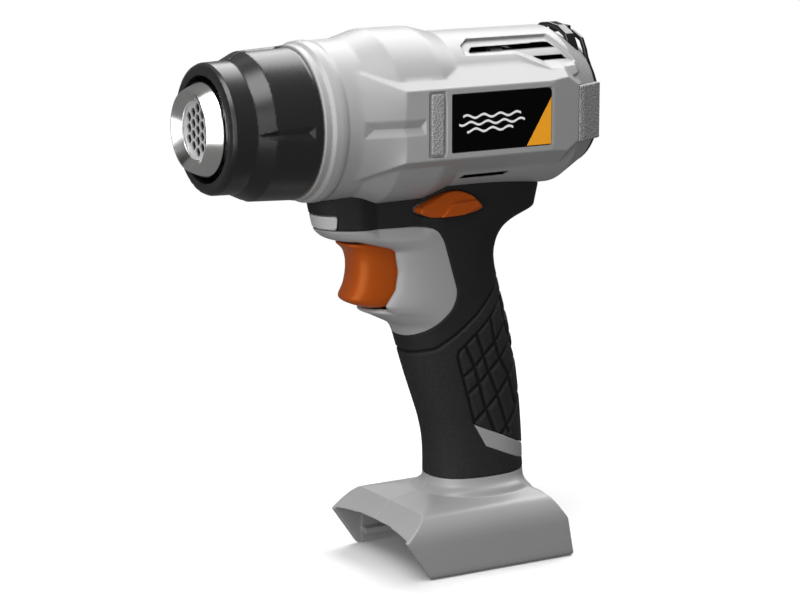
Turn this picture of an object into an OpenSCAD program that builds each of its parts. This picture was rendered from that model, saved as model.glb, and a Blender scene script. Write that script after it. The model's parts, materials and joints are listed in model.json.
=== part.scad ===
// Cordless heat gun, shown without its battery pack.
// +X points along the barrel towards the nozzle, +Y to the tool's left side, +Z up.
// The origin is at the middle of the tool's footprint, on the surface that the battery foot stands on.

/* [Barrel] */
// Height of the barrel's axis above the surface the foot stands on
axis_h = 204; // [200:1:210]
// Front of the nozzle, measured from the origin
front_x = 95.4; // [94:0.2:97]
// Radius of the housing behind the shoulder
barrel_r = 35.5; // [35:0.1:36]
// Radius of the shoulder around the fan
shoulder_r = 38.6; // [38:0.1:39.4]
// Distance from the axis to each flat side panel
panel_y = 39; // [38.8:0.1:39.4]
// Thickness of the housing's wall
wall = 2.6; // [2.2:0.1:3]

/* [Nozzle and guard] */
// Outer radius of the nozzle's front rim
nozzle_r = 17.2; // [16.6:0.1:17.6]
// Outer radius of the nozzle's base
nozzle_base_r = 20.4; // [20:0.1:21]
// Clear radius of the honeycomb screen
outlet_r = 12.4; // [12:0.1:12.8]
// Distance between the flats of one honeycomb cell and the next
cell_pitch = 4.7; // [4.4:0.1:5]
// Largest radius of the heat guard
guard_r = 33; // [32.6:0.1:33.2]

/* [Handle] */
// Thickness of the rubber overmould
rubber = 1.8; // [1.4:0.1:2.2]
// Half the width of the grip at its waist
grip_half_w = 16; // [15:0.5:17]

/* [Battery foot] */
// Half the width of the foot
foot_half_w = 34.5; // [34:0.5:35]
// Height of the foot's front lip
foot_lip_z = 18.4; // [18:0.2:19]

/* [Trigger and lock] */
// How far the trigger moves back
trigger_travel = 6; // [4:0.5:6]
// How far the lock button moves to each side
lock_travel = 2.5; // [1:0.5:2.5]

/* [Fan and motor] */
// Radius of the motor's can
motor_r = 15; // [14.6:0.1:15.4]
// Radius over the fan's blades
fan_r = 26.5; // [25:0.5:26.5]
// Radius of the motor's shaft
shaft_r = 1.6; // [1.5:0.05:1.7]
// Outer radius of the motor's two bearing bushes
bush_r = 4; // [3.6:0.1:4.2]

/* [Hidden] */

$fn = 72;
fit_gap = 0.1;      // between fixed pieces that sit in each other
run_gap = 0.4;      // around pieces that move
far = 200;          // longer than any cut needs to be
oval_sides = 28;    // corners of each cross-section of the handle
oval_power = 2.6;   // 2 is an ellipse, more is squarer

housing_grey = [0.62, 0.63, 0.64];
rubber_black = [0.13, 0.13, 0.14];
guard_black = [0.08, 0.08, 0.085];
orange = [0.85, 0.36, 0.06];
steel = [0.75, 0.76, 0.78];
copper = [0.72, 0.42, 0.2];
mica = [0.78, 0.72, 0.6];

// Barrel outline, as [radius, x] from the flange's front to the rear rim.
flange_x = 47.6;
rear_rim_x = -93.4;
rear_rim_r = 28.6;
cone_x = -80.5;     // where the barrel starts to narrow towards the rear rim
barrel_outline = [
    [33.6, flange_x], [33.9, 44], [35.2, 42.6], [35.5, 39.5], [35.2, 37.4], [34.8, 36.8],
    [35, 24.3], [shoulder_r - 0.1, 11.5], [shoulder_r, -10.7], [barrel_r + 0.2, -21.4],
    [barrel_r, cone_x], [rear_rim_r, rear_rim_x]
];
spigot_r = 30.6;    // the guard slides over this collar
spigot_bore_r = 28.4;
spigot_x = 58;
bore_r = barrel_r - wall;
barrel_bore = [
    [0, rear_rim_x - 1], [rear_rim_r - wall, rear_rim_x - 1], [rear_rim_r - wall, rear_rim_x + 0.4],
    [bore_r, cone_x + 1],
    [bore_r, 21.5], [32.4, 23.6], [32.4, 42], [spigot_bore_r, 44], [spigot_bore_r, spigot_x + 1],
    [0, spigot_x + 1]
];

// Cross-sections of the handle, each [height, front x, rear x, half width].
handle_sections = [
    [30, -22, -71.5, grip_half_w + 1.5], [44, -22.4, -71.2, grip_half_w + 0.5],
    [60, -20.5, -70.8, grip_half_w], [78, -14, -69, grip_half_w + 0.3],
    [95, -8.5, -65.8, grip_half_w + 1], [110, -3, -61.5, grip_half_w + 1.5],
    [117.5, 10, -60, grip_half_w + 1.5], [121, 17, -59, grip_half_w + 1.5],
    [128, 10.5, -57, grip_half_w + 1.8], [136, 8.5, -55, grip_half_w + 2],
    [146, 10, -56.5, grip_half_w + 2.2], [152, 30, -62, grip_half_w + 2.4],
    [156, 34.5, -72, grip_half_w + 2.7], [162, 36, -77, grip_half_w + 3],
    [168, 37.4, -78.5, grip_half_w + 3], [178, 39, -79.5, grip_half_w + 3]
];
grip_bottom_z = 38;     // lower edge of the rubber

// Side view of the grey panel that the rubber leaves open, as [x, z].
panel_window = [
    [far, 158.2], [-8, 158.2], [-16, 155], [-20, 150], [-28, 124.5], [-25.5, 117.5], [-16, 109.2],
    [-8, 105.4], [-2, 103.6], [far, 103.6]
];
// Side view of the grey flash low on the grip, as [x, z].
flash_window = [
    [-37.5, 63], [-44, 51.8], [-62.6, 43.8], [-72, 41.2], [-far, 41.2], [-far, 47.4], [-72, 47.4],
    [-53.5, 56]
];

// Trigger, as [height, front x, half width].
trigger_sections = [
    [120, 12, 9.2], [120.8, 16, 9.8], [122.8, 21, 10.2], [124.7, 22, 10.3], [130, 18.7, 10.4],
    [136, 17.6, 10.4], [141, 17.6, 10.4], [146, 19, 10.4], [149.6, 24.2, 10.4]
];
trigger_half_w = 10.4;
trigger_rear_x = -5;
trigger_z = [119.4, 150.6];     // bottom and top of the pocket it slides in
squeezed_room = 4;              // free length behind the trigger when it is fully in

// Lock button, centred here and seen from the side.
lock_pos = [-22, 164];
lock_half_l = 15.8;
lock_up = 7;
lock_down = 4;
lock_half_w = 21.8;
lock_bar = [9, 5];              // length and height of the bar between its two pads

lens_z = [156.8, 163];
lens_x = 28.5;

// Side panels and what sits in them, as [low, high].
panel_flat_x = [-62.5, 11.8];   // the panel slopes inwards in front of this and behind it
shelf_z = 219.3;                // where the panel's sloping upper edge starts; the lower one mirrors it
label_x = [-62.1, -11.1];
label_z = [191.4, 216.6];
front_pad_x = [-7.1, -0.7];
front_pad_z = [190.8, 217.4];
rear_pad_z = [191, 216];

// Motor, fan and heater, along the axis.
can_x = [-76, -38];
fan_x = [-29, -15];
duct_x = [-33, 14];
heater_x = [12, 72];
card_middle = (heater_x[0] + heater_x[1]) / 2;
coil_r = 12.4;
coil_wire_r = 0.5;
coil_turns = 12;
heater_tube_r = 17.2;

switch_x = [-46, -20];
switch_z = [124, 148];
plunger_r = 2.4;
plunger_z = (switch_z[0] + switch_z[1]) / 2;
plunger_tip_x = 3;              // where the plunger and the spring meet the trigger

deck_z = 21;                    // underside of the wall between battery and electronics
lead_r = 0.9;
lead_end_gap = 0.4;             // between a wire's cut end and what it leads to

// Screws, as [x, z, distance of the head's seat from the middle].
screw_sites = [
    [20, 229, 22.6], [-71.5, 227.4, 20], [-70, 175.5, 18.2], [14, 160.4, 11.4], [-60, 163, 10.8],
    [-47, 110, 13.5], [-48, 66, 13]
];
screw_head_r = 3;
screw_r = 1.5;
boss_r = 3.2;

function signed_power(v, power) = sign(v) * pow(abs(v), power);

// One squared oval at height z.
function oval(z, front, rear, half_w) = [
    for (i = [0 : oval_sides - 1])
        let (a = 360 * i / oval_sides, half_l = (front - rear) / 2)
        [
            (front + rear) / 2 + half_l * signed_power(cos(a), 2 / oval_power),
            half_w * signed_power(sin(a), 2 / oval_power),
            z
        ]
];

// Points of a circle of radius r around p, in the plane of the unit vectors u and v.
function circle_at(p, u, v, r, sides) = [
    for (i = [0 : sides - 1])
        p + r * (cos(360 * i / sides) * u + sin(360 * i / sides) * v)
];

// A solid through a list of rings that all have the same number of points.
module loft(rings) {
    n = len(rings[0]);
    last = len(rings) - 1;
    sides = [
        for (k = [0 : last - 1], i = [0 : n - 1])
            [k * n + i, (k + 1) * n + i, (k + 1) * n + (i + 1) % n, k * n + (i + 1) % n]
    ];
    polyhedron(
        points = [for (ring = rings) each ring],
        faces = concat([[for (i = [0 : n - 1]) i]], sides, [[for (i = [n - 1 : -1 : 0]) last * n + i]])
    );
}

// A helix of round wire around the X axis.
module coil(x0, x1, r, wire_r, turns, steps, sides) {
    total = turns * steps;
    loft([
        for (k = [0 : total])
            let (
                a = 360 * k / steps,
                out = [0, cos(a), sin(a)]
            )
            circle_at([x0 + (x1 - x0) * k / total, 0, 0] + r * out, [1, 0, 0], out, wire_r, sides)
    ]);
}

// Puts what is drawn around Z onto the barrel's axis, with Z along +X.
module on_axis() translate([0, 0, axis_h]) rotate([0, 90, 0]) children();

// A body of revolution about the barrel's axis from a closed [radius, x] outline.
module turned(outline) on_axis() rotate_extrude($fn = 96) polygon(outline);

// A tube on the barrel's axis.
module ring(x0, x1, outer_r, inner_r) {
    turned([[inner_r, x0], [outer_r, x0], [outer_r, x1], [inner_r, x1]]);
}

module disc(x0, x1, r) on_axis() translate([0, 0, x0]) cylinder(r = r, h = x1 - x0);

// A bar that reaches from the axis outwards, turned by an angle around it.
module spoke(angle, x0, x1, r0, r1, width) {
    translate([0, 0, axis_h]) rotate([angle, 0, 0])
        translate([x0, -width / 2, r0]) cube([x1 - x0, width, r1 - r0]);
}

// A box from its two corners.
module block(low, high) translate(low) cube(high - low);

// A side view outline in [x, z], given thickness from y0 to y1.
module side_slab(outline, y0, y1) {
    translate([0, y1, 0]) rotate([90, 0, 0]) linear_extrude(y1 - y0) polygon(outline);
}

// A rod along Y at [x, z].
module cross_rod(x, z, y0, y1, r) {
    translate([x, y1, z]) rotate([90, 0, 0]) cylinder(r = r, h = y1 - y0, $fn = 32);
}

// Keeps the half of its children on one side: 1 is left, -1 is right.
module half_of(side) {
    intersection() {
        children();
        translate([-far, side > 0 ? 0 : -far, -far]) cube([2 * far, far, 3 * far]);
    }
}

// The same thing on both sides of the tool.
module both_sides() {
    children();
    mirror([0, 1, 0]) children();
}

// The handle's outer form, set in by some millimetres, between the sections numbered first and last.
module handle_form(inset, first = 0, last = 15) {
    loft([
        for (i = [first : last])
            let (s = handle_sections[i])
            oval(s[0], s[1] - inset, s[2] + inset, s[3] - inset)
    ]);
}

// The barrel without its bore.
module barrel_form() {
    turned(concat(barrel_outline, [[0, rear_rim_x], [0, flange_x]]));
}

// The raised flat panel on the left side. Both its ends and both its long edges slope inwards.
module side_panel() {
    outline = [
        [30.5, 181], [12, 185.8], [-10, 185.8], [-20.5, 181.2], [-70, 181.4], [-82, 189], [-82, 216],
        [-74.5, 221.7], [-64, 222.2], [-53, 226.6], [-20.5, 226.8], [-10, 222.2], [12, 222.2], [30.5, 227]
    ];
    rise = shelf_z - 0.7 - axis_h;
    difference() {
        side_slab(outline, 20, panel_y);
        linear_extrude(3 * far) polygon([
            [31, 34.7], [panel_flat_x[1], panel_y], [panel_flat_x[0], panel_y], [cone_x, 35.9],
            [rear_rim_x, 31], [rear_rim_x, far], [31, far]
        ]);
        both_ends_of_z() translate([-far, 0, 0]) rotate([90, 0, 90]) linear_extrude(2 * far) polygon([
            [panel_y + 1, rise], [27.3, 23], [27.3, far], [far, far], [far, rise]
        ]);
    }
}

// Long air slot high on the barrel and a short one below its saddle.
module vent_slots() {
    side_slab([[-34, 233.3], [-73.9, 233.5], [-75.6, 231.7], [-31.1, 231.5], [-30.5, 232]], 12, far);
    side_slab([[-24.3, 177.4], [-26, 178.6], [-48.2, 178.7], [-47, 177.5]], 20, far);
}

// Second short slot, on the left side only: on the right a screw sits there.
module short_slot() {
    side_slab([[-62.5, 228.4], [-77.1, 228.5], [-78.3, 227], [-66.1, 226.8]], 20, far);
}

// Shallow recess around the upper slots.
module vent_recess() {
    difference() {
        side_slab(
            [
                [-33.5, 236.8], [-75.6, 236.8], [-84, 225], [-66.6, 225.6], [-53.3, 230.4],
                [-27, 231], [-28, 234.6]
            ],
            8, far
        );
        disc(-far, far, barrel_r - 1.3);
    }
}

// A V-shaped trough along X with its bottom on the X axis.
module trough(length, depth) {
    rotate([90, 0, 90]) linear_extrude(length) polygon([[0, 0], [2 * depth, 3.6], [2 * depth, -3.6]]);
}

// The groove pressed into the front of each side panel, along the flat and down its front slope.
module panel_groove() {
    depth = 1.8;
    slope = atan((panel_y - 34.7) / (31 - panel_flat_x[1]));
    translate([2.4, panel_y - depth, axis_h - 0.4]) trough(panel_flat_x[1] - 2.4, depth);
    translate([panel_flat_x[1], panel_y - depth, axis_h - 0.4]) rotate([0, 0, -slope]) trough(19, depth);
}

// Outer surface of the foot, the skirt around the battery's rails.
module foot_form() {
    side_view = [
        [-4.5, 0], [8.5, foot_lip_z], [-3, 28.8], [-20, 32], [-34, 34], [-62, 34], [-69, 30],
        [-76.8, foot_lip_z], [-80.3, 0]
    ];
    front_view = [
        [foot_half_w, 0], [foot_half_w, foot_lip_z], [33.6, 23], [31.6, 26.4], [28.7, 28.6], [20, 31],
        [0, 33], [-20, 31], [-28.7, 28.6], [-31.6, 26.4], [-33.6, 23], [-foot_half_w, foot_lip_z],
        [-foot_half_w, 0]
    ];
    intersection() {
        side_slab(side_view, -far, far);
        translate([-far, 0, 0]) rotate([90, 0, 90]) linear_extrude(2 * far) polygon(front_view);
    }
}

// The space that the battery slides into, open at the front and below.
module battery_bay() {
    block([-74.6, -foot_half_w + wall, -1], [far, foot_half_w - wall, deck_z - 4]);
    block([-74.6, -24, -1], [-2, 24, deck_z - 1.6]);
}

// The space above the bay, for the electronics.
module electronics_bay() block([-70, -26, deck_z + 1], [-9, 26, 27.4]);

// The two rails that carry the battery.
module battery_rails() {
    both_sides() block([-74.7, 27.2, 5], [-6, foot_half_w - wall + 0.2, 8]);
}

module screw_bosses(side) {
    for (s = screw_sites) {
        cross_rod(s[0], s[1], side > 0 ? 0 : -s[2] - 1, side > 0 ? s[2] + 1 : 0, boss_r);
    }
}

module screw_holes(clearance) {
    for (s = screw_sites) {
        cross_rod(s[0], s[1], -s[2], 10, screw_r + clearance);
        cross_rod(s[0], s[1], -far, -s[2], screw_head_r + clearance);
    }
}

// Side view of the lock button's pad, grown by some millimetres.
function lock_outline(grow) = [
    for (i = [0 : 35])
        let (a = 10 * i)
        [
            lock_pos[0] + (lock_half_l + grow) * signed_power(cos(a), 0.92),
            lock_pos[1] + ((sin(a) > 0 ? lock_up : lock_down) + grow) * sin(a)
        ]
];

// Room for the lock button over its whole travel.
module lock_space() {
    reach = far / 2;
    both_sides() side_slab(lock_outline(run_gap), 14.4 - lock_travel, reach);
    block(
        [lock_pos[0] - lock_bar[0] / 2 - run_gap, -20, lock_pos[1] - lock_bar[1] / 2 - run_gap],
        [lock_pos[0] + lock_bar[0] / 2 + run_gap, 20, lock_pos[1] + lock_bar[1] / 2 + run_gap]
    );
}

module trigger_pocket() {
    half_w = trigger_half_w + run_gap;
    rear_x = trigger_rear_x - trigger_travel - squeezed_room;
    block([rear_x, -half_w, trigger_z[0]], [far, half_w, trigger_z[1]]);
}

// Shaft for the battery's wires, from the electronics bay up into the hollow grip.
module wire_shaft() block([-66, -11, 25], [-30, 11, 60]);

// Opening in the barrel's underside for the motor's and the heater's wires.
module barrel_port() block([-66, -8, 160], [-38, 8, 180]);

// Room in the saddle for the wires, the lock button's bar and the work light.
module saddle_room() {
    block([-60, -14, 150], [-12, 14, 180]);
    block([-12, -12, 154], [8, 12, 164.8]);
    block([8, -9.3, 154], [26.2, 9.3, 164.8]);
}

module lens_band(grow) {
    block([lens_x - grow, -far, lens_z[0] - grow], [far, far, lens_z[1] + grow]);
}

// Plan view of a pad that wraps round the housing's rear corner.
module rear_pad_form(grow) {
    translate([0, 0, rear_pad_z[0] - grow]) linear_extrude(rear_pad_z[1] - rear_pad_z[0] + 2 * grow)
        polygon([
            [-78.6 + grow, 36.8 + grow], [-81.5 - grow, 36.2 + 2 * grow], [-94 - grow, 29.7 + grow],
            [-93 - grow, 27.5 - grow], [-81 + grow, 33.8 - grow], [-78.6 + grow, 34.4 - grow]
        ]);
}

// One half of the clamshell: barrel, handle core, trigger surround and battery foot.
module housing(side) {
    color(housing_grey) half_of(side) difference() {
        union() {
            difference() {
                union() {
                    barrel_form();
                    both_sides() side_panel();
                }
                both_sides() vent_recess();
                turned(barrel_bore);
                barrel_port();
            }
            ring(flange_x - 3, spigot_x, spigot_r, spigot_bore_r);
            handle_shell();
            difference() {
                foot_form();
                battery_bay();
                electronics_bay();
                wire_shaft();
            }
            intersection() {
                battery_rails();
                foot_form();
            }
            intersection() {
                screw_bosses(side);
                union() {
                    barrel_form();
                    handle_form(rubber);
                }
            }
        }
        both_sides() vent_slots();
        short_slot();
        both_sides() panel_groove();
        both_sides() block([label_x[0], panel_y - 0.5, label_z[0]], [label_x[1], far, label_z[1]]);
        both_sides() block(
            [front_pad_x[0], panel_y - 1, front_pad_z[0]],
            [front_pad_x[1], far, front_pad_z[1]]
        );
        both_sides() rear_pad_form(fit_gap);
        screw_holes(fit_gap);
        lock_space();
        trigger_pocket();
        lens_band(fit_gap);
    }
}

// The handle's grey core, with the panel and the flash that show through the rubber.
module handle_shell() {
    difference() {
        union() {
            handle_form(rubber);
            intersection() {
                handle_form(0);
                union() {
                    side_slab(panel_window, -far, far);
                    side_slab(flash_window, -far, far);
                    block([-far, -far, 0], [far, far, grip_bottom_z]);
                }
            }
        }
        handle_form(rubber + wall, 1, 12);
        wire_shaft();
        saddle_room();
        barrel_form();
        block([-far, -far, -far], [far, far, 30.2]);
    }
}

// One half of the rubber grip and saddle.
module overmould(side) {
    color(rubber_black) half_of(side) difference() {
        handle_form(0);
        handle_form(rubber);
        barrel_form();
        both_sides() side_panel();
        side_slab(panel_window, -far, far);
        side_slab(flash_window, -far, far);
        block([-far, -far, 0], [far, far, grip_bottom_z]);
        screw_holes(fit_gap);
        lock_space();
        lens_band(fit_gap);
    }
}

module left_housing() housing(1);
module right_housing() housing(-1);
module left_overmould() overmould(1);
module right_overmould() overmould(-1);

// Black collar that keeps hands off the hot nozzle.
module heat_guard() {
    inner_r = spigot_r + fit_gap;
    color(guard_black) difference() {
        turned([
            [23, 88.5], [26, 88.5], [27.4, 87.9], [28.1, 86.4], [28.4, 77], [guard_r - 1, 69.5],
            [guard_r, 49.6], [guard_r - 0.5, 48.2], [inner_r, 48.2], [inner_r, 66.4], [26, 76], [26, 84],
            [23, 86]
        ]);
        for (quarter = [0 : 3]) {
            translate([0, 0, axis_h]) rotate([90 * quarter, 0, 0]) guard_notch();
        }
    }
}

// A V-shaped groove with slanting ends, cut into the guard.
module guard_notch() {
    half_w = 3.5;
    top_r = guard_r + 0.6;
    depth = 1.6;
    loft([
        [[70, 0, top_r - depth], [70, 0.01, top_r - depth], [55.5, 0.01, top_r - depth], [55.5, 0, top_r - depth]],
        [[75.5, 0, top_r], [71, half_w, top_r], [52, half_w, top_r], [52, -half_w, top_r]]
    ]);
}

// Plated steel outlet; its skirt slides over the heater tube.
module nozzle() {
    skirt_x = 70;
    skirt_in = heater_tube_r + fit_gap;
    lip_x = 91;
    color(steel) turned([
        [skirt_in, skirt_x], [skirt_in + 1, skirt_x], [skirt_in + 1, 84.6], [nozzle_base_r - 0.4, 87.6],
        [nozzle_base_r, 88.4], [nozzle_base_r, 89], [nozzle_r, front_x - 0.3], [nozzle_r - 0.4, front_x],
        [nozzle_r - 1, front_x - 0.3], [outlet_r + 0.4, 92.2], [outlet_r, 91.8], [outlet_r, lip_x],
        [outlet_r + 1, lip_x], [outlet_r + 1, 87.6], [15.4, 86.2], [skirt_in, 84.4]
    ]);
}

// Screen of hexagonal cells just inside the outlet.
module honeycomb() {
    web = 0.8;
    column_pitch = cell_pitch * cos(30);
    cell_r = (cell_pitch - web) / 2 / cos(30);
    color(steel) difference() {
        disc(87.8, 90.9, outlet_r + 0.9);
        for (column = [-3 : 3], row = [-3 : 3]) {
            y = column * column_pitch;
            z = (row + (abs(column) % 2) / 2) * cell_pitch;
            if (norm([y, z]) < outlet_r - 1.6) {
                translate([87, y, axis_h + z]) rotate([0, 90, 0]) rotate([0, 0, 90])
                    cylinder(r = cell_r, h = 5, $fn = 6);
            }
        }
    }
}

// Holes for the two heater leads.
module heater_lead_holes() {
    both_sides() translate([18, 3, axis_h - 25]) cylinder(r = lead_r + 0.5, h = 20);
}

module heater_tube() {
    color(steel) difference() {
        ring(4, 84, heater_tube_r, heater_tube_r - 0.8);
        heater_lead_holes();
    }
}

module mica_sleeve() {
    color(mica) difference() {
        ring(heater_x[0] - 2, heater_x[1] + 2, 15.2, 14.4);
        heater_lead_holes();
    }
}

// A heater card with a slot along half its length, where the other card crosses it.
module mica_card(slot_x0, slot_x1) {
    half_w = coil_r - coil_wire_r - 0.5;
    thick = 0.8;
    difference() {
        block([heater_x[0], -thick / 2, -half_w], [heater_x[1], thick / 2, half_w]);
        block([slot_x0, -thick, -thick / 2 - 0.05], [slot_x1, thick, thick / 2 + 0.05]);
    }
}

module mica_card_upright() {
    color(mica) translate([0, 0, axis_h]) mica_card(card_middle, far);
}

module mica_card_flat() {
    color(mica) translate([0, 0, axis_h]) rotate([90, 0, 0]) mica_card(-far, card_middle);
}

// Resistance wire wound round the crossed cards.
module heating_coil() {
    color([0.55, 0.5, 0.48]) translate([0, 0, axis_h])
        coil(heater_x[0] + 4, heater_x[1] - 4, coil_r, coil_wire_r, coil_turns, 14, 6);
}

// Small cylinder fuse that lies against the upright card.
module thermal_cutoff() {
    r = 1.8;
    color([0.85, 0.85, 0.82]) translate([50, 0.4 + r, axis_h + 6])
        rotate([0, 90, 0]) cylinder(r = r, h = 12);
}

// Steel spider that centres the hot tube inside the guard.
module support_ring() {
    x0 = 72;
    x1 = 74.4;
    hub_in = heater_tube_r + fit_gap + 1 + fit_gap;
    color(steel) {
        ring(x0, x1, hub_in + 1.4, hub_in);
        ring(x0, x1, 25.9, 24.4);
        for (i = [0 : 5]) spoke(60 * i, x0, x1, hub_in + 1, 25, 3);
    }
}

// Shroud round the fan that narrows to the heater tube.
module fan_duct() {
    shroud_in = fan_r + 0.6;
    collar_in = heater_tube_r + fit_gap;
    color([0.2, 0.2, 0.21]) turned([
        [shroud_in, duct_x[0]], [shroud_in + 1.6, duct_x[0]], [shroud_in + 1.6, -12.5],
        [collar_in + 1.8, 5], [collar_in + 1.8, duct_x[1]], [collar_in, duct_x[1]], [collar_in, 4.4],
        [shroud_in, -13.2]
    ]);
}

// Axial fan pressed on the shaft.
module fan_impeller() {
    hub_r = 9;
    blades = 9;
    color([0.85, 0.85, 0.83]) {
        difference() {
            disc(fan_x[0], fan_x[1], hub_r);
            disc(fan_x[0] - 1, fan_x[1] + 1, shaft_r);
        }
        intersection() {
            ring(fan_x[0] + 1, fan_x[1] - 1, fan_r, hub_r - 0.5);
            union() for (i = [0 : blades - 1]) {
                translate([(fan_x[0] + fan_x[1]) / 2, 0, axis_h]) rotate([360 / blades * i, 0, 0])
                    rotate([0, 0, 40]) translate([-12, -0.7, 4]) cube([24, 1.4, fan_r]);
            }
        }
    }
}

module motor_shaft() color(steel) disc(-82, -13, shaft_r);

// Slotted iron core of the motor's rotor.
module armature() {
    color([0.45, 0.46, 0.48]) difference() {
        ring(-66, -48, 11.2, shaft_r);
        for (i = [0 : 4]) spoke(72 * i, -67, -47, 4.5, 12, 3);
    }
}

// Copper windings in the core's slots, with their end turns.
module armature_windings() {
    color(copper) {
        ring(-69.6, -66.05, 9.5, 4.5);
        ring(-47.95, -44.4, 9.5, 4.5);
        for (i = [0 : 4]) spoke(72 * i, -68, -46, 5, 9, 2.6);
    }
}

module commutator() color(copper) ring(-75, -70, 3.5, shaft_r);

module motor_can() {
    bush_seat_r = bush_r + 0.05;
    color(steel) {
        ring(can_x[0], can_x[1], motor_r, motor_r - 0.8);
        ring(can_x[1], can_x[1] + 1.2, motor_r, bush_seat_r);
        ring(can_x[1], can_x[1] + 3.4, bush_r + 1.4, bush_seat_r);
    }
}

// Two curved magnets inside the can.
module motor_magnets() {
    color([0.25, 0.25, 0.27]) difference() {
        ring(-70, -44, motor_r - 0.85, motor_r - 3.2);
        block([-72, -far, axis_h - 4], [-40, far, axis_h + 4]);
    }
}

module motor_bush(x0, x1) color([0.7, 0.55, 0.3]) ring(x0, x1, bush_r, shaft_r + 0.05);
module motor_front_bush() motor_bush(can_x[1], can_x[1] + 3.4);
module motor_rear_bush() motor_bush(can_x[0] - 5, can_x[0] - 1);

// Plastic rear end of the motor, with a holder for each brush.
module motor_end_cap() {
    color([0.16, 0.16, 0.17]) {
        ring(can_x[0] - 3, can_x[0], motor_r, bush_r);
        ring(can_x[0] - 5, can_x[0] - 3, bush_r + 2, bush_r);
        both_ends_of_z() difference() {
            block([can_x[0], -3.2, 8], [-71, 3.2, 12.6]);
            block([-75.4, -1.9, 7], [-70, 1.9, 11.8]);
        }
    }
}

// The same thing above and below the barrel's axis.
module both_ends_of_z() {
    translate([0, 0, axis_h]) {
        children();
        mirror([0, 0, 1]) children();
    }
}

module motor_brushes() {
    color([0.18, 0.17, 0.16]) both_ends_of_z() block([-75, -1.8, 3.6], [-71.4, 1.8, 11.6]);
}

// Ring with four arms that holds the motor in the barrel.
module motor_mount() {
    x0 = -50;
    x1 = -44;
    outer = barrel_r - wall - fit_gap;
    hub_in = motor_r + fit_gap;
    color([0.22, 0.22, 0.23]) {
        ring(x0, x1, outer, outer - 2.2);
        ring(x0, x1, hub_in + 2, hub_in);
        for (i = [0 : 3]) spoke(45 + 90 * i, x0, x1, hub_in + 1.5, outer - 1, 4);
    }
}

// Perforated steel disc behind the rear cap.
module intake_screen() {
    hole_pitch = 5.6;
    color(steel) difference() {
        disc(-89.2, -88.4, 27.9);
        for (i = [-5 : 5], j = [-5 : 5]) {
            y = (i + (abs(j) % 2) / 2) * hole_pitch;
            z = j * hole_pitch * cos(30);
            if (norm([y, z]) < 25.5) {
                translate([-91, y, axis_h + z]) rotate([0, 90, 0]) cylinder(r = 1.9, h = 6, $fn = 16);
            }
        }
    }
}

// Half of an arched bar's outline in the [y, height above the axis] plane, from its foot to its top.
function arch_half(top_r, corner, waist, foot) = [
    foot, waist, corner,
    for (i = [1 : 3])
        let (a = atan2(corner[1], corner[0]) * (1 - i / 4) + 90 * i / 4)
        top_r * [cos(a), sin(a)]
];

// An arched bar across the rear top, from its outer outline and its thickness towards the middle.
module arch(x0, x1, top_r, corner, waist, foot, thick) {
    left = arch_half(top_r, corner, waist, foot);
    outer = concat(left, [[0, top_r]], [for (i = [len(left) - 1 : -1 : 0]) [-left[i][0], left[i][1]]]);
    inner = [for (i = [len(outer) - 1 : -1 : 0]) outer[i] * (1 - thick / norm(outer[i]))];
    translate([x0, 0, axis_h]) rotate([90, 0, 90]) linear_extrude(x1 - x0) polygon(concat(outer, inner));
}

// Slotted back that the tool can stand on, with two arched bars above it.
module rear_cap() {
    back_x = -front_x;
    plate_x = rear_rim_x - fit_gap;
    bar = 2.2;
    spokes = 8;
    color([0.05, 0.05, 0.055]) difference() {
        union() {
            ring(back_x, plate_x, rear_rim_r - 0.6, 23.5);
            ring(plate_x - 0.1, rear_rim_x + 2.4, rear_rim_r - wall - fit_gap, 23.5);
            ring(back_x, plate_x, 17, 14.6);
            disc(back_x, plate_x, 7);
            for (i = [0 : spokes - 1]) {
                spoke(360 / spokes * (i + 0.5), back_x, plate_x, 6, 24.5, 3.4);
            }
            arch(back_x, plate_x, 33.8, [14.4, 30.4], [17.5, 25.5], [19.8, 18.4], bar);
            difference() {
                arch(-90.6, -85.5, 36.5, [13.6, 32.4], [16.7, 27.8], [18.3, 22.2], bar);
                barrel_form();
            }
            translate([plate_x - 0.1, -6, axis_h + 32]) cube([3.2, 12, 3.4]);
        }
        both_sides() rear_pad_form(fit_gap);
    }
}

module label() {
    color(rubber_black) block(
        [label_x[0] + fit_gap, panel_y - 0.5, label_z[0] + fit_gap],
        [label_x[1] - fit_gap, panel_y + 0.1, label_z[1] - fit_gap]
    );
}
module left_label() label();
module right_label() mirror([0, 1, 0]) label();

// Textured pad in front of the label.
module front_bumper() {
    color(housing_grey) block(
        [front_pad_x[0] + fit_gap, panel_y - 1, front_pad_z[0] + fit_gap],
        [front_pad_x[1] - fit_gap, panel_y + 0.5, front_pad_z[1] - fit_gap]
    );
}
module left_front_bumper() front_bumper();
module right_front_bumper() mirror([0, 1, 0]) front_bumper();

module left_rear_bumper() color(housing_grey) rear_pad_form(0);
module right_rear_bumper() color(housing_grey) mirror([0, 1, 0]) rear_pad_form(0);

// Lens that wraps round the front of the saddle.
module led_lens() {
    color([0.85, 0.86, 0.87]) intersection() {
        difference() {
            handle_form(0, 12, 14);
            handle_form(rubber, 12, 14);
        }
        lens_band(0);
    }
}

// Small board with the work light on it.
module led_board() {
    z = (lens_z[0] + lens_z[1]) / 2;
    color([0.1, 0.35, 0.2]) block([22, -8.6, 154.4], [23.6, 8.6, 163.6]);
    color([0.95, 0.95, 0.85]) for (y = [-5, 5]) {
        translate([23.6, y, z]) rotate([0, 90, 0]) cylinder(r = 2.2, h = 2.4);
    }
}

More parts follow.
